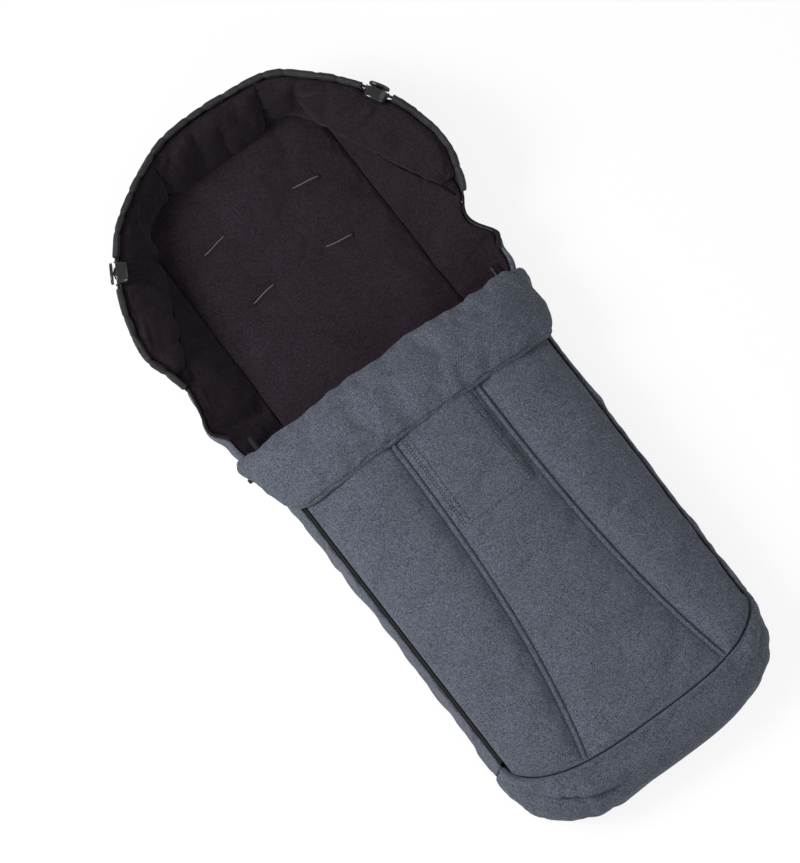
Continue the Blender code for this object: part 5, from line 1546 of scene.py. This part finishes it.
def slot_lips(name, place, top):
    """The two soft lips of a slit, as one ring of cloth that nearly closes."""
    count, half = 44, SLOT_LENGTH / 2
    c, s = np.cos(circle(count)), np.sin(circle(count))
    cx, cy = np.sign(c) * np.abs(c) ** 0.35, np.sign(s) * np.abs(s) ** 0.6
    profile = (
        (0.0050, -0.0014), (0.0043, 0.0), (0.0032, 0.0006), (0.0021, 0.0004), (0.0013, -0.0004),
        (0.0010, -0.0014), (0.0009, -0.0030), (0.0010, 0.0020 - top), (0.0040, 0.0020 - top),
    )
    points = [
        place @ Vector((cx[k] * (half + reach * 0.5 - 0.001), cy[k] * reach, top - 0.001 + rise))
        for reach, rise in profile
        for k in range(count)
    ]
    faces = ring_faces(len(profile), count, closed=True)
    obj = add_object(f"slot_lips_{name}", mesh_from(f"slot_lips_{name}", points, faces))
    finish_piece(obj, finish("fleece"), "muff", (f"harness_slot_binding_{name}",), 1)


def slot_edge(name, place, top, phase):
    """A thin pale cord between the lips that wavers a little: a painted highlight along the slit."""
    steps, sides, half = 36, 8, SLOT_LENGTH / 2
    rings = []
    for k in range(steps + 1):
        share = 2 * k / steps - 1
        thin = 0.00075 * math.sqrt(max(1 - share**8, 0.02))
        bend = 0.0004 * math.sin(3.1 * share + phase)
        for s in range(sides):
            angle = 2 * math.pi * s / sides
            height = top - 0.0019 + math.sin(angle) * thin
            rings.append(place @ Vector((share * (half - 0.0006), bend + math.cos(angle) * thin, height)))
    faces = capped_faces(steps + 1, sides, True)
    obj = add_object(f"slot_edge_{name}", mesh_from(f"slot_edge_{name}", rings, faces))
    finish_piece(obj, finish("slit"), "muff", levels=0)


def make_slots():
    """Each harness slit: two soft lips that nearly meet, and a pale cord just seen between them, a painted
    highlight.
    """
    for name, (x, y, slant) in SLOTS.items():
        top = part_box(f"harness_slot_binding_{name}")[1][2]
        place = Matrix.Translation((x, y, 0)) @ Matrix.Rotation(slant, 4, "Z")
        slot_lips(name, place, top)
        slot_edge(name, place, top, x * 90)


def back_outline(count=260):
    """The back panel's outline seen from above, in even steps."""
    half = np.concatenate((np.linspace(0, 1, 60), np.linspace(1, 2, 12)[1:], np.linspace(2, 10, 90)[1:-1]))
    right = np.array([guide_point("back", p)[:2] for p in half])
    head = guide_point("back", HEAD_MIDDLE)[:2]
    closed = np.concatenate((right, [head], right[:0:-1] * np.array((-1, 1)), right[:1]))
    along = distances(closed)
    return along_line(np.linspace(0, along[-1], count, endpoint=False), along, closed)


# The piping round the back, as pairs of inset and height
BACK_PIPING = (
    (0.0012, 0.0030), (0.0004, 0.0036), (-0.0006, 0.0030),
    (-0.0009, 0.0016), (-0.0004, 0.0004), (0.0010, 0.0),
)


def make_back():
    """Back panel and wadding: the frame's own plates, dressed, with a bound edge."""
    for node, name, material in (
        ("back_panel", "back_cloth", "nylon"),
        ("back_padding", "back_wadding", "wadding"),
    ):
        dress_node(name, frame_mesh(node, material), node, "muff", 0.0009, 50)
    ring = back_outline()
    count = len(ring)
    inward = unit_rows(np.roll(ring, -1, 0) - np.roll(ring, 1, 0))
    inward = np.stack((-inward[:, 1], inward[:, 0]), -1)
    points = np.concatenate([
        np.concatenate((ring + inward * (inset + 0.0006), np.full((count, 1), height)), 1)
        for inset, height in BACK_PIPING
    ])
    faces = ring_faces(len(BACK_PIPING), count, closed=True)
    obj = add_object("back_edge_piping", mesh_from("back_edge_piping", points, faces))
    finish_piece(obj, finish("nylon"), "muff", levels=1)


# Hood's rim


def rim_path(places):
    """Points of the rim, and the directions out of the hood and up at each."""
    points = np.array([guide_point("rim", p) for p in places])
    forward = np.array([guide_point("rim", p + 1e-3) - guide_point("rim", p - 1e-3) for p in places])
    forward = unit_rows(forward)
    side = unit_rows(np.cross(forward, (0, 0, 1)))
    return points, side, np.cross(side, forward)


def place_at_distance(place, distance):
    here, left, direction = place, abs(distance), math.copysign(1, distance)
    step = 0.005
    while left > 0:
        move = np.linalg.norm(guide_point("rim", here + direction * step) - guide_point("rim", here))
        if move >= left:
            return here + direction * step * left / move
        left -= move
        here += direction * step
    return here


FACET_LENGTHS = (0.031, 0.024, 0.038, 0.027, 0.035, 0.022)


def tunnel_path(places):
    """The rim between the tunnel's creases, pulled most of the way to straight lines."""
    points, side, up = rim_path(places)
    along = distances(points)
    marks = [0.0]
    k = 0
    while marks[-1] + FACET_LENGTHS[k % 6] < along[-1] - 0.012:
        marks.append(marks[-1] + FACET_LENGTHS[k % 6])
        k += 1
    marks.append(along[-1])
    marks = np.array(marks)
    straight = along_line(along, marks, along_line(marks, along, points))
    number = np.clip(np.searchsorted(marks, along, side="right") - 1, 0, len(marks) - 2)
    nearest = np.abs(along[:, None] - marks[1:-1]).min(1) if len(marks) > 2 else along + 1
    return points * 0.12 + straight * 0.88, side, up, along, number, nearest


RIM_SAMPLES = 600
TUNNEL_BORE = 0.0026


def make_tunnel(name, node, first, last, seed, mirror=False):
    """A gathered nylon tunnel: flat facets between creases, puckered by its seam, hemmed at both ends."""
    sides = 24
    places = even_places("rim", first, last, 0.0018, RIM_SAMPLES)
    count = len(places)
    middle, side, up, along, number, nearest = tunnel_path(places)
    angle = circle(sides)
    tops = np.array([[top_rise(p, rim_margin(p)) for p in places]])
    hem = (wall_grid(places, tops)[0] + wall_grid(places, tops, CLOTH)[0]) / 2 - middle
    across, below = (hem * side).sum(1), (hem * up).sum(1)
    sizes = []
    for k in range(count):
        turn = angle - 0.5 * math.sin(seed + 2.4 * number[k])
        c, s = np.cos(turn), np.sin(turn)
        size = (np.abs(c) ** 3.4 + np.abs(s) ** 3.4) ** (-1 / 3.4) * 0.93
        size *= 1 - 0.3 * math.exp(-((nearest[k] / 0.0028) ** 2))
        size = size * (1 - 0.05 * np.sin(along[k] / 0.0034 + seed) * np.clip(-np.cos(angle), 0, 1))
        for j in range(sides):
            v = Vector((along[k] / 0.007, math.cos(angle[j]) * 0.9, math.sin(angle[j]) * 0.9 + seed))
            size[j] += 0.11 * noise.noise(v)
        size = np.clip(size, 0.72, 1.14) * TUNNEL_RADIUS * 0.95
        size[np.sin(angle) < -0.6] *= 0.94
        aside = np.abs(np.angle(np.exp(1j * (angle - math.atan2(below[k], across[k])))))
        reach = min(math.hypot(across[k], below[k]) - 0.0002, 0.0075)
        size = np.where(aside < 0.42, np.maximum(size, reach * (1 - 0.25 * aside)), size)
        sizes.append(size)
    outer = rings_around(middle, side, up, angle, np.array(sizes)[..., None])
    inner = rings_around(middle, side, up, angle, TUNNEL_BORE)
    if mirror:
        outer, inner = outer * MIRROR, inner * MIRROR
    outer, inner = askew(outer), askew(inner)
    size = count * sides
    faces = ring_faces(count, sides, 0, mirror) + ring_faces(count, sides, size, not mirror)
    for r, flip in ((0, mirror), (count - 1, not mirror)):
        for s in range(sides):
            n = (s + 1) % sides
            a, b = r * sides + s, r * sides + n
            face = (b, a, a + size, b + size)
            faces.append(face[::-1] if flip else face)
    points = np.concatenate((outer.reshape(-1, 3), inner.reshape(-1, 3)))
    obj = add_object(name, mesh_from(name, points, faces))
    finish_piece(obj, finish("nylon"), "muff", (node,), 1)


def make_rim():
    lock = (LOCK_FOOT + LOCK_HEAD) / 2
    first = NOTCH + 0.03
    before, after = place_at_distance(lock, -LOCK_GAP), place_at_distance(lock, LOCK_GAP)
    make_tunnel("cord_tunnel_right", "rim_tunnel_right", first, before, 2.0)
    make_tunnel("cord_tunnel_left", "rim_tunnel_left", first, before, 6.0, mirror=True)
    make_tunnel("cord_tunnel_head", "rim_tunnel_centre", after, 2 * HEAD_MIDDLE - after, 9.0)

    places = even_places("rim", first + 0.09, 2 * HEAD_MIDDLE - first - 0.09, 0.0012, RIM_SAMPLES)
    points, side, up = rim_path(places)
    sides = 12
    run, turn = np.arange(len(places))[:, None] / 5, 4 * np.arange(sides) / sides
    twist = np.sin(2 * math.pi * (run + turn)) * np.sin(2 * math.pi * (run - turn))
    size = CORD_RADIUS * (0.95 + 0.06 * twist)[..., None]
    rings = askew(rings_around(points, side, up, circle(sides), size)).reshape(-1, 3)
    mesh = mesh_from("braided_drawcord", rings, capped_faces(len(places), sides))
    obj = add_object("braided_drawcord", mesh)
    finish_piece(obj, finish("tape"), "muff", ("drawcord",), 0)


# Cord locks


def lock_axes():
    """Axes of the right cord lock: out of the hood, along the cord and up."""
    along = unit(HOOD["rim"][LOCK_HEAD - ZIP_HEAD] - HOOD["rim"][LOCK_FOOT - ZIP_HEAD])
    out = unit(np.cross(along, (0, 0, 1)))
    centre = guide_point("rim", (LOCK_FOOT + LOCK_HEAD) / 2)
    return centre, out, along, np.cross(out, along)


def oval_ring(half_length, half_height, count, power):
    c, s = np.cos(circle(count)), np.sin(circle(count))
    return np.stack((
        half_length * np.sign(c) * np.abs(c) ** (2 / power),
        half_height * np.sign(s) * np.abs(s) ** (2 / power),
    ), -1)


def turned_oval(name, stations, side, power=2.5, count=48, lift=0.0):
    """A closed piece through ovals across the lock's axis: rows of depth, half length and half height."""
    centre, out, along, up = lock_axes()
    rings = []
    for depth, half_length, half_height in stations:
        flat = oval_ring(half_length, half_height, count, power)
        rings.append(centre + out * depth + flat[:, :1] * along + (flat[:, 1:] + lift) * up)
    points = np.concatenate(rings)
    flip = side == "left"
    if flip:
        points = points * MIRROR
    return add_object(name, mesh_from(name, points, capped_faces(len(stations), count, flip)))


# Stations of the cord locks: depth along the lock's axis, half length and half height
LOCK_BARREL = (
    (-0.0135, 0.0085, 0.0045), (-0.0134, 0.0118, 0.0066), (-0.0125, 0.0132, 0.0078),
    (-0.0105, 0.0142, 0.0084), (-0.0060, 0.0147, 0.0085), (-0.0010, 0.0150, 0.0085),
    (0.0004, 0.0151, 0.0085), (0.0014, 0.0149, 0.0083), (0.0019, 0.0143, 0.0078),
    (0.0020, 0.0100, 0.0064), (0.0012, 0.0092, 0.0058), (-0.0010, 0.0090, 0.0056),
)
LOCK_BUTTON = (
    (0.0053, 0.0080, 0.0046), (0.0054, 0.0130, 0.0071),
    (0.0060, 0.0138, 0.0078), (0.0072, 0.0140, 0.0080), (0.0084, 0.0139, 0.0079),
    (0.0091, 0.0132, 0.0073), (0.0093, 0.0121, 0.0064), (0.0089, 0.0108, 0.0053),
    (0.0083, 0.0100, 0.0046), (0.0075, 0.0085, 0.0037), (0.0075, 0.0070, 0.0029),
    (0.0078, 0.0040, 0.0016), (0.0078, 0.0010, 0.0005),
)
LOCK_PLUNGER = ((-0.0045, 0.0074, 0.0010), (-0.0040, 0.0078, 0.0014), (0.0056, 0.0078, 0.0014))
PLUNGER_LIFT = 0.0037
# The collar round each cord hole: distance along the cord and radius
LOCK_COLLAR = ((0.0140, 0.0024), (0.0149, 0.0025), (0.0156, 0.0030), (0.0153, 0.0038), (0.0140, 0.0040))
COLLAR_SIDES = 24


def make_locks():
    """Cord locks: an oval barrel with the cord's holes, and a wide button on two prongs."""
    centre, out, along, up = lock_axes()
    plastic = finish("plastic")
    for side in ("left", "right"):
        for name, stations, body, node in (
            ("lock_barrel", LOCK_BARREL, "lock", "cord_lock_body"),
            ("lock_button_cap", LOCK_BUTTON, "button", "cord_lock_button"),
        ):
            obj = turned_oval(f"{name}_{side}", stations, side)
            finish_piece(obj, plastic, f"{body}_{side}", (f"{node}_{side}",), 1)
        for level, lift in (("upper", PLUNGER_LIFT), ("lower", -PLUNGER_LIFT)):
            obj = turned_oval(f"lock_plunger_{level}_{side}", LOCK_PLUNGER, side, 5, 32, lift)
            finish_piece(obj, plastic, f"button_{side}")
        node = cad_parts[f"cord_lock_spring_{side}"]
        node.data.materials.clear()
        node.data.materials.append(finish("steel"))
        for hand, direction in (("head", 1), ("foot", -1)):
            rings = []
            for reach, radius in LOCK_COLLAR:
                flat = oval_ring(radius, radius, COLLAR_SIDES, 2)
                rings.append(centre + along * direction * reach + flat[:, :1] * out + flat[:, 1:] * up)
            points = np.concatenate(rings)
            flip = (side == "left") == (direction < 0)
            if side == "left":
                points = points * MIRROR
            faces = ring_faces(len(rings), COLLAR_SIDES, 0, flip, closed=True)
            obj = add_object(f"lock_cord_hole_{hand}_{side}", mesh_from("lock_cord_hole", points, faces))
            finish_piece(obj, plastic, f"lock_{side}", levels=1)


# Zips


def zip_points(y, across, depth):
    """Points by distance from the right zip's middle, towards the cover, and depth below the cloth."""
    _, toward_cover, out = zip_axes()
    base = np.array([zip_line(v) for v in np.ravel(y)]).reshape(np.shape(y) + (3,))
    return base + np.asarray(across)[..., None] * toward_cover - np.asarray(depth)[..., None] * out


# A tape's section from the zip's middle, and a coil loop's, as pairs of distance and depth
TAPE_SECTION = (
    (0.00085, 0.0041), (0.00080, 0.0037), (0.0011, 0.00345), (0.0024, 0.0035), (0.0041, 0.0035),
    (0.0063, 0.0041), (0.0085, 0.0047), (0.0085, 0.0054), (0.0063, 0.0048), (0.0041, 0.0042),
    (0.0020, 0.0042),
)
LOOP_SECTION = ((0.0008, 0.0046), (0.0008, 0.0061), (0.0013, 0.0065), (0.0030, 0.0062), (0.0036, 0.0046))
LOOP_PITCH, LOOP_LENGTH = 0.0021, 0.0011
ZIP_STOP = 0.005
# The cover's half of each zip ends below the mouth
COVER_ZIP_HEAD_Y = 0.079


def make_zips():
    """Reversed coil zips: woven tapes that turn under at the middle, and the coil's fine loops below."""
    foot, count, sides = ZIP_FOOT_Y + ZIP_STOP, 240, len(TAPE_SECTION)
    for half, sign, head in (("base", -1, ZIP_HEAD_Y - ZIP_STOP), ("cover", 1, COVER_ZIP_HEAD_Y)):
        across, depth = np.array(TAPE_SECTION).T
        ys = np.repeat(np.linspace(foot, head, count)[:, None], sides, 1)
        rings = zip_points(ys, np.tile(across * sign, (count, 1)), np.tile(depth, (count, 1)))
        loops, loop_faces = [], []
        for k in range(int((head - foot - 0.002) / LOOP_PITCH)):
            start = foot + 0.001 + k * LOOP_PITCH + (LOOP_PITCH / 2 if sign > 0 else 0)
            loop_faces += shifted(capped_faces(2, len(LOOP_SECTION)), len(loops))
            for end in (start, start + LOOP_LENGTH):
                loops += [zip_points(np.array(end), np.array(w * sign), np.array(d)) for w, d in LOOP_SECTION]
        body = "muff" if half == "base" else "cover"
        for side in ("right", "left"):
            flip = (side == "left") != (sign < 0)
            hand = MIRROR if side == "left" else 1
            name = f"{half}_zip_tape_{side}"
            mesh = mesh_from(name, rings.reshape(-1, 3) * hand, capped_faces(count, sides, not flip))
            finish_piece(add_object(name, mesh), finish("tape"), body, (f"{half}_zip_{side}",), 0)
            name = f"{half}_zip_coil_{side}"
            faces = [f if flip else f[::-1] for f in loop_faces]
            obj = add_object(name, mesh_from(name, np.array(loops) * hand, faces))
            obj.data.materials.append(finish("plastic"))
            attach(obj, body)


PULL_DROP, PULL_DRAW_IN = 0.008, 0.005


def make_sliders():
    """Sliders in the frame's own shape, edges softened; each pull is a limp woven tab that hangs down."""
    for side in ("left", "right"):
        node = f"zip_slider_{side}"
        mesh = frame_mesh(node, "gunmetal")
        dress_node(f"slider_body_{side}", mesh, node, f"slider_{side}", 0.00025, 35)
        node = f"zip_pull_{side}"
        mesh = frame_mesh(node, "tape")
        low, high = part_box(node)
        root, tip = sorted((abs(low[0]), abs(high[0])))
        for vertex in mesh.vertices:
            share = (abs(vertex.co.x) - root) / (tip - root)
            vertex.co.z -= PULL_DROP * share**2
            vertex.co.x -= math.copysign(PULL_DRAW_IN * share**2, vertex.co.x)
        dress_node(f"woven_pull_{side}", mesh, node, f"slider_{side}", 0.0004, 35)


# Studio


def view_axes(studio):
    a, e, roll = studio.azimuth, studio.elevation, studio.roll
    right = np.array((math.cos(a), math.sin(a), 0))
    up = np.array((-math.sin(a) * math.sin(e), math.cos(a) * math.sin(e), math.cos(e)))
    back = np.array((math.sin(a) * math.cos(e), -math.cos(a) * math.cos(e), math.sin(e)))
    c, s = math.cos(roll), math.sin(roll)
    return c * right + s * up, c * up - s * right, back


def emission_for_camera(m, strength):
    """White towards the camera and in reflections, the material's own shading for every other ray."""
    path = m.add("ShaderNodeLightPath")
    seen = m.math("MAXIMUM", path.outputs["Is Camera Ray"], path.outputs["Is Glossy Ray"])
    seen = m.math("MAXIMUM", seen, path.outputs["Is Transmission Ray"])
    emission = m.add("ShaderNodeEmission", {"Color": (1, 1, 1, 1), "Strength": 1.0})
    blend = m.add("ShaderNodeMixShader")
    m.tree.links.new(m.math("MULTIPLY", seen, strength), blend.inputs[0])
    m.tree.links.new(m.shader.outputs[0], blend.inputs[1])
    m.tree.links.new(emission.outputs[0], blend.inputs[2])
    m.tree.links.new(blend.outputs[0], m.tree.nodes["Material Output"].inputs["Surface"])


LIGHTS = (
    ("key_light", 88, (-2.0, 0.9, 2.0), 1.3),
    ("fill_light", 9, (1.8, -0.6, 2.4), 2.0),
    ("foot_light", 21, (-0.4, -2.2, 1.8), 1.6),
)
WORLD_STRENGTH = 0.36
FLOOR_HALF_SIZE, FLOOR_Z = 8.0, -0.0004
AIM = (0, 0, 0.05)
# Where the muff's middle lies in the picture, in pixels
MUFF_MIDDLE = (434, 436)


def make_stage():
    """A pale floor that keeps the shadow, three lights, a white world and the camera."""
    studio = bpy.context.scene.footmuff_studio
    m = Nodes("studio_floor")
    m.surface(Roughness=0.9, Specular_IOR_Level=0.1)
    m.shader.inputs["Base Color"].default_value = (0.93, 0.93, 0.93, 1)
    emission_for_camera(m, 0.85)
    corners = [(x * FLOOR_HALF_SIZE, y * FLOOR_HALF_SIZE, 0) for x, y in ((-1, -1), (1, -1), (1, 1), (-1, 1))]
    mesh = mesh_from("studio_floor", corners, [(0, 1, 2, 3)])
    floor = add_object("studio_floor", mesh)
    floor.location.z = FLOOR_Z
    mesh.materials.append(m.material)

    world = bpy.data.worlds.new("studio_world")
    bpy.context.scene.world = world
    world.use_nodes = True
    world.node_tree.nodes["Background"].inputs["Color"].default_value = (1, 1, 1, 1)
    world.node_tree.nodes["Background"].inputs["Strength"].default_value = WORLD_STRENGTH

    right, up, back = view_axes(studio)
    for name, energy, place, size in LIGHTS:
        data = bpy.data.lights.new(name, "AREA")
        data.energy = energy
        data.size = size
        lamp = bpy.data.objects.new(name, data)
        bpy.context.scene.collection.objects.link(lamp)
        lamp.location = place
        lamp.rotation_euler = (Vector(AIM) - Vector(place)).to_track_quat("-Z", "Y").to_euler()

    beside, below = (muff - size / 2 for muff, size in zip(MUFF_MIDDLE, PICTURE_SIZE))
    aim = np.array(AIM) - right * beside / PICTURE_SCALE + up * below / PICTURE_SCALE
    data = bpy.data.cameras.new("studio_camera")
    data.sensor_width = 36
    data.lens = 36 * studio.distance / studio.view_height
    data.clip_end = 50
    camera = bpy.data.objects.new("studio_camera", data)
    bpy.context.scene.collection.objects.link(camera)
    axes = Matrix((right, up, back)).transposed().to_4x4()
    axes.translation = Vector(aim + back * studio.distance)
    camera.matrix_world = axes
    bpy.context.scene.camera = camera
    bpy.context.scene.view_settings.view_transform = "Standard"


# Operators, panel and registration


class FOOTMUFF_OT_back(bpy.types.Operator):
    """Make the back panel, its wadding and its piped edge"""

    bl_idname = "footmuff.back"
    bl_label = "Back"

    def execute(self, context):
        make_back()
        return {"FINISHED"}


class FOOTMUFF_OT_seat_pad(bpy.types.Operator):
    """Make the crowned fleece pad"""

    bl_idname = "footmuff.seat_pad"
    bl_label = "Seat Pad"

    def execute(self, context):
        make_seat_pad()
        return {"FINISHED"}


class FOOTMUFF_OT_slots(bpy.types.Operator):
    """Make the bound harness slits"""

    bl_idname = "footmuff.slots"
    bl_label = "Harness Slots"

    def execute(self, context):
        make_slots()
        return {"FINISHED"}


class FOOTMUFF_OT_side_walls(bpy.types.Operator):
    """Make the softshell side walls"""

    bl_idname = "footmuff.side_walls"
    bl_label = "Side Walls"

    def execute(self, context):
        make_side_walls()
        return {"FINISHED"}


class FOOTMUFF_OT_toe_cap(bpy.types.Operator):
    """Make the folded toe cap"""

    bl_idname = "footmuff.toe_cap"
    bl_label = "Toe Cap"

    def execute(self, context):
        make_toe_cap()
        return {"FINISHED"}


class FOOTMUFF_OT_hood_panels(bpy.types.Operator):
    """Make the gathered nylon panels of the hood"""

    bl_idname = "footmuff.hood_panels"
    bl_label = "Hood Panels"

    def execute(self, context):
        make_hood_panels()
        return {"FINISHED"}


class FOOTMUFF_OT_linings(bpy.types.Operator):
    """Make the fleece linings of toe, sides and hood"""

    bl_idname = "footmuff.linings"
    bl_label = "Linings"

    def execute(self, context):
        make_linings()
        return {"FINISHED"}


class FOOTMUFF_OT_cover(bpy.types.Operator):
    """Make the cover, its long seams and its lining"""

    bl_idname = "footmuff.cover"
    bl_label = "Cover"

    def execute(self, context):
        make_cover()
        return {"FINISHED"}


class FOOTMUFF_OT_patch(bpy.types.Operator):
    """Make the stitched, bare patch on the cover"""

    bl_idname = "footmuff.patch"
    bl_label = "Patch"

    def execute(self, context):
        make_patch()
        return {"FINISHED"}


class FOOTMUFF_OT_cuff(bpy.types.Operator):
    """Make the turned-down cuff"""

    bl_idname = "footmuff.cuff"
    bl_label = "Cuff"

    def execute(self, context):
        make_cuff()
        return {"FINISHED"}


class FOOTMUFF_OT_rim(bpy.types.Operator):
    """Make the gathered cord tunnels and the drawcord"""

    bl_idname = "footmuff.rim"
    bl_label = "Hood Rim"

    def execute(self, context):
        make_rim()
        return {"FINISHED"}


class FOOTMUFF_OT_cord_locks(bpy.types.Operator):
    """Make the moulded cord locks"""

    bl_idname = "footmuff.cord_locks"
    bl_label = "Cord Locks"

    def execute(self, context):
        make_locks()
        return {"FINISHED"}


class FOOTMUFF_OT_zips(bpy.types.Operator):
    """Make the tapes and coils of both zips"""

    bl_idname = "footmuff.zips"
    bl_label = "Zips"

    def execute(self, context):
        make_zips()
        return {"FINISHED"}


class FOOTMUFF_OT_sliders(bpy.types.Operator):
    """Make the zip sliders and their woven pulls"""

    bl_idname = "footmuff.sliders"
    bl_label = "Sliders"

    def execute(self, context):
        make_sliders()
        return {"FINISHED"}


class FOOTMUFF_OT_stage(bpy.types.Operator):
    """Make the floor, lights and camera"""

    bl_idname = "footmuff.stage"
    bl_label = "Studio"

    def execute(self, context):
        make_stage()
        return {"FINISHED"}


OPERATORS = (
    FOOTMUFF_OT_back,
    FOOTMUFF_OT_seat_pad,
    FOOTMUFF_OT_slots,
    FOOTMUFF_OT_side_walls,
    FOOTMUFF_OT_toe_cap,
    FOOTMUFF_OT_hood_panels,
    FOOTMUFF_OT_linings,
    FOOTMUFF_OT_cover,
    FOOTMUFF_OT_patch,
    FOOTMUFF_OT_cuff,
    FOOTMUFF_OT_rim,
    FOOTMUFF_OT_cord_locks,
    FOOTMUFF_OT_zips,
    FOOTMUFF_OT_sliders,
    FOOTMUFF_OT_stage,
)


class FOOTMUFF_PT_panel(bpy.types.Panel):
    """Lists the makers of the footmuff's pieces."""

    bl_idname = "FOOTMUFF_PT_panel"
    bl_label = "Footmuff"
    bl_space_type = "VIEW_3D"
    bl_region_type = "UI"
    bl_category = "Footmuff"

    def draw(self, context):
        for group in ("footmuff_colours", "footmuff_cloth", "footmuff_studio"):
            settings = getattr(context.scene, group)
            box = self.layout.box()
            for name in settings.bl_rna.properties.keys():
                if name not in ("rna_type", "name"):
                    box.prop(settings, name)
        for maker in OPERATORS:
            self.layout.operator(maker.bl_idname)


CLASSES = (FootmuffColours, FootmuffCloth, FootmuffStudio, *OPERATORS, FOOTMUFF_PT_panel)


def register():
    for cls in CLASSES:
        bpy.utils.register_class(cls)
    bpy.types.Scene.footmuff_colours = bpy.props.PointerProperty(type=FootmuffColours)
    bpy.types.Scene.footmuff_cloth = bpy.props.PointerProperty(type=FootmuffCloth)
    bpy.types.Scene.footmuff_studio = bpy.props.PointerProperty(type=FootmuffStudio)


def unregister():
    del bpy.types.Scene.footmuff_colours
    del bpy.types.Scene.footmuff_cloth
    del bpy.types.Scene.footmuff_studio
    for cls in reversed(CLASSES):
        bpy.utils.unregister_class(cls)


def main():
    register()
    for maker in OPERATORS:
        group, name = maker.bl_idname.split(".")
        getattr(getattr(bpy.ops, group), name)()


if __name__ == "__main__":
    main()
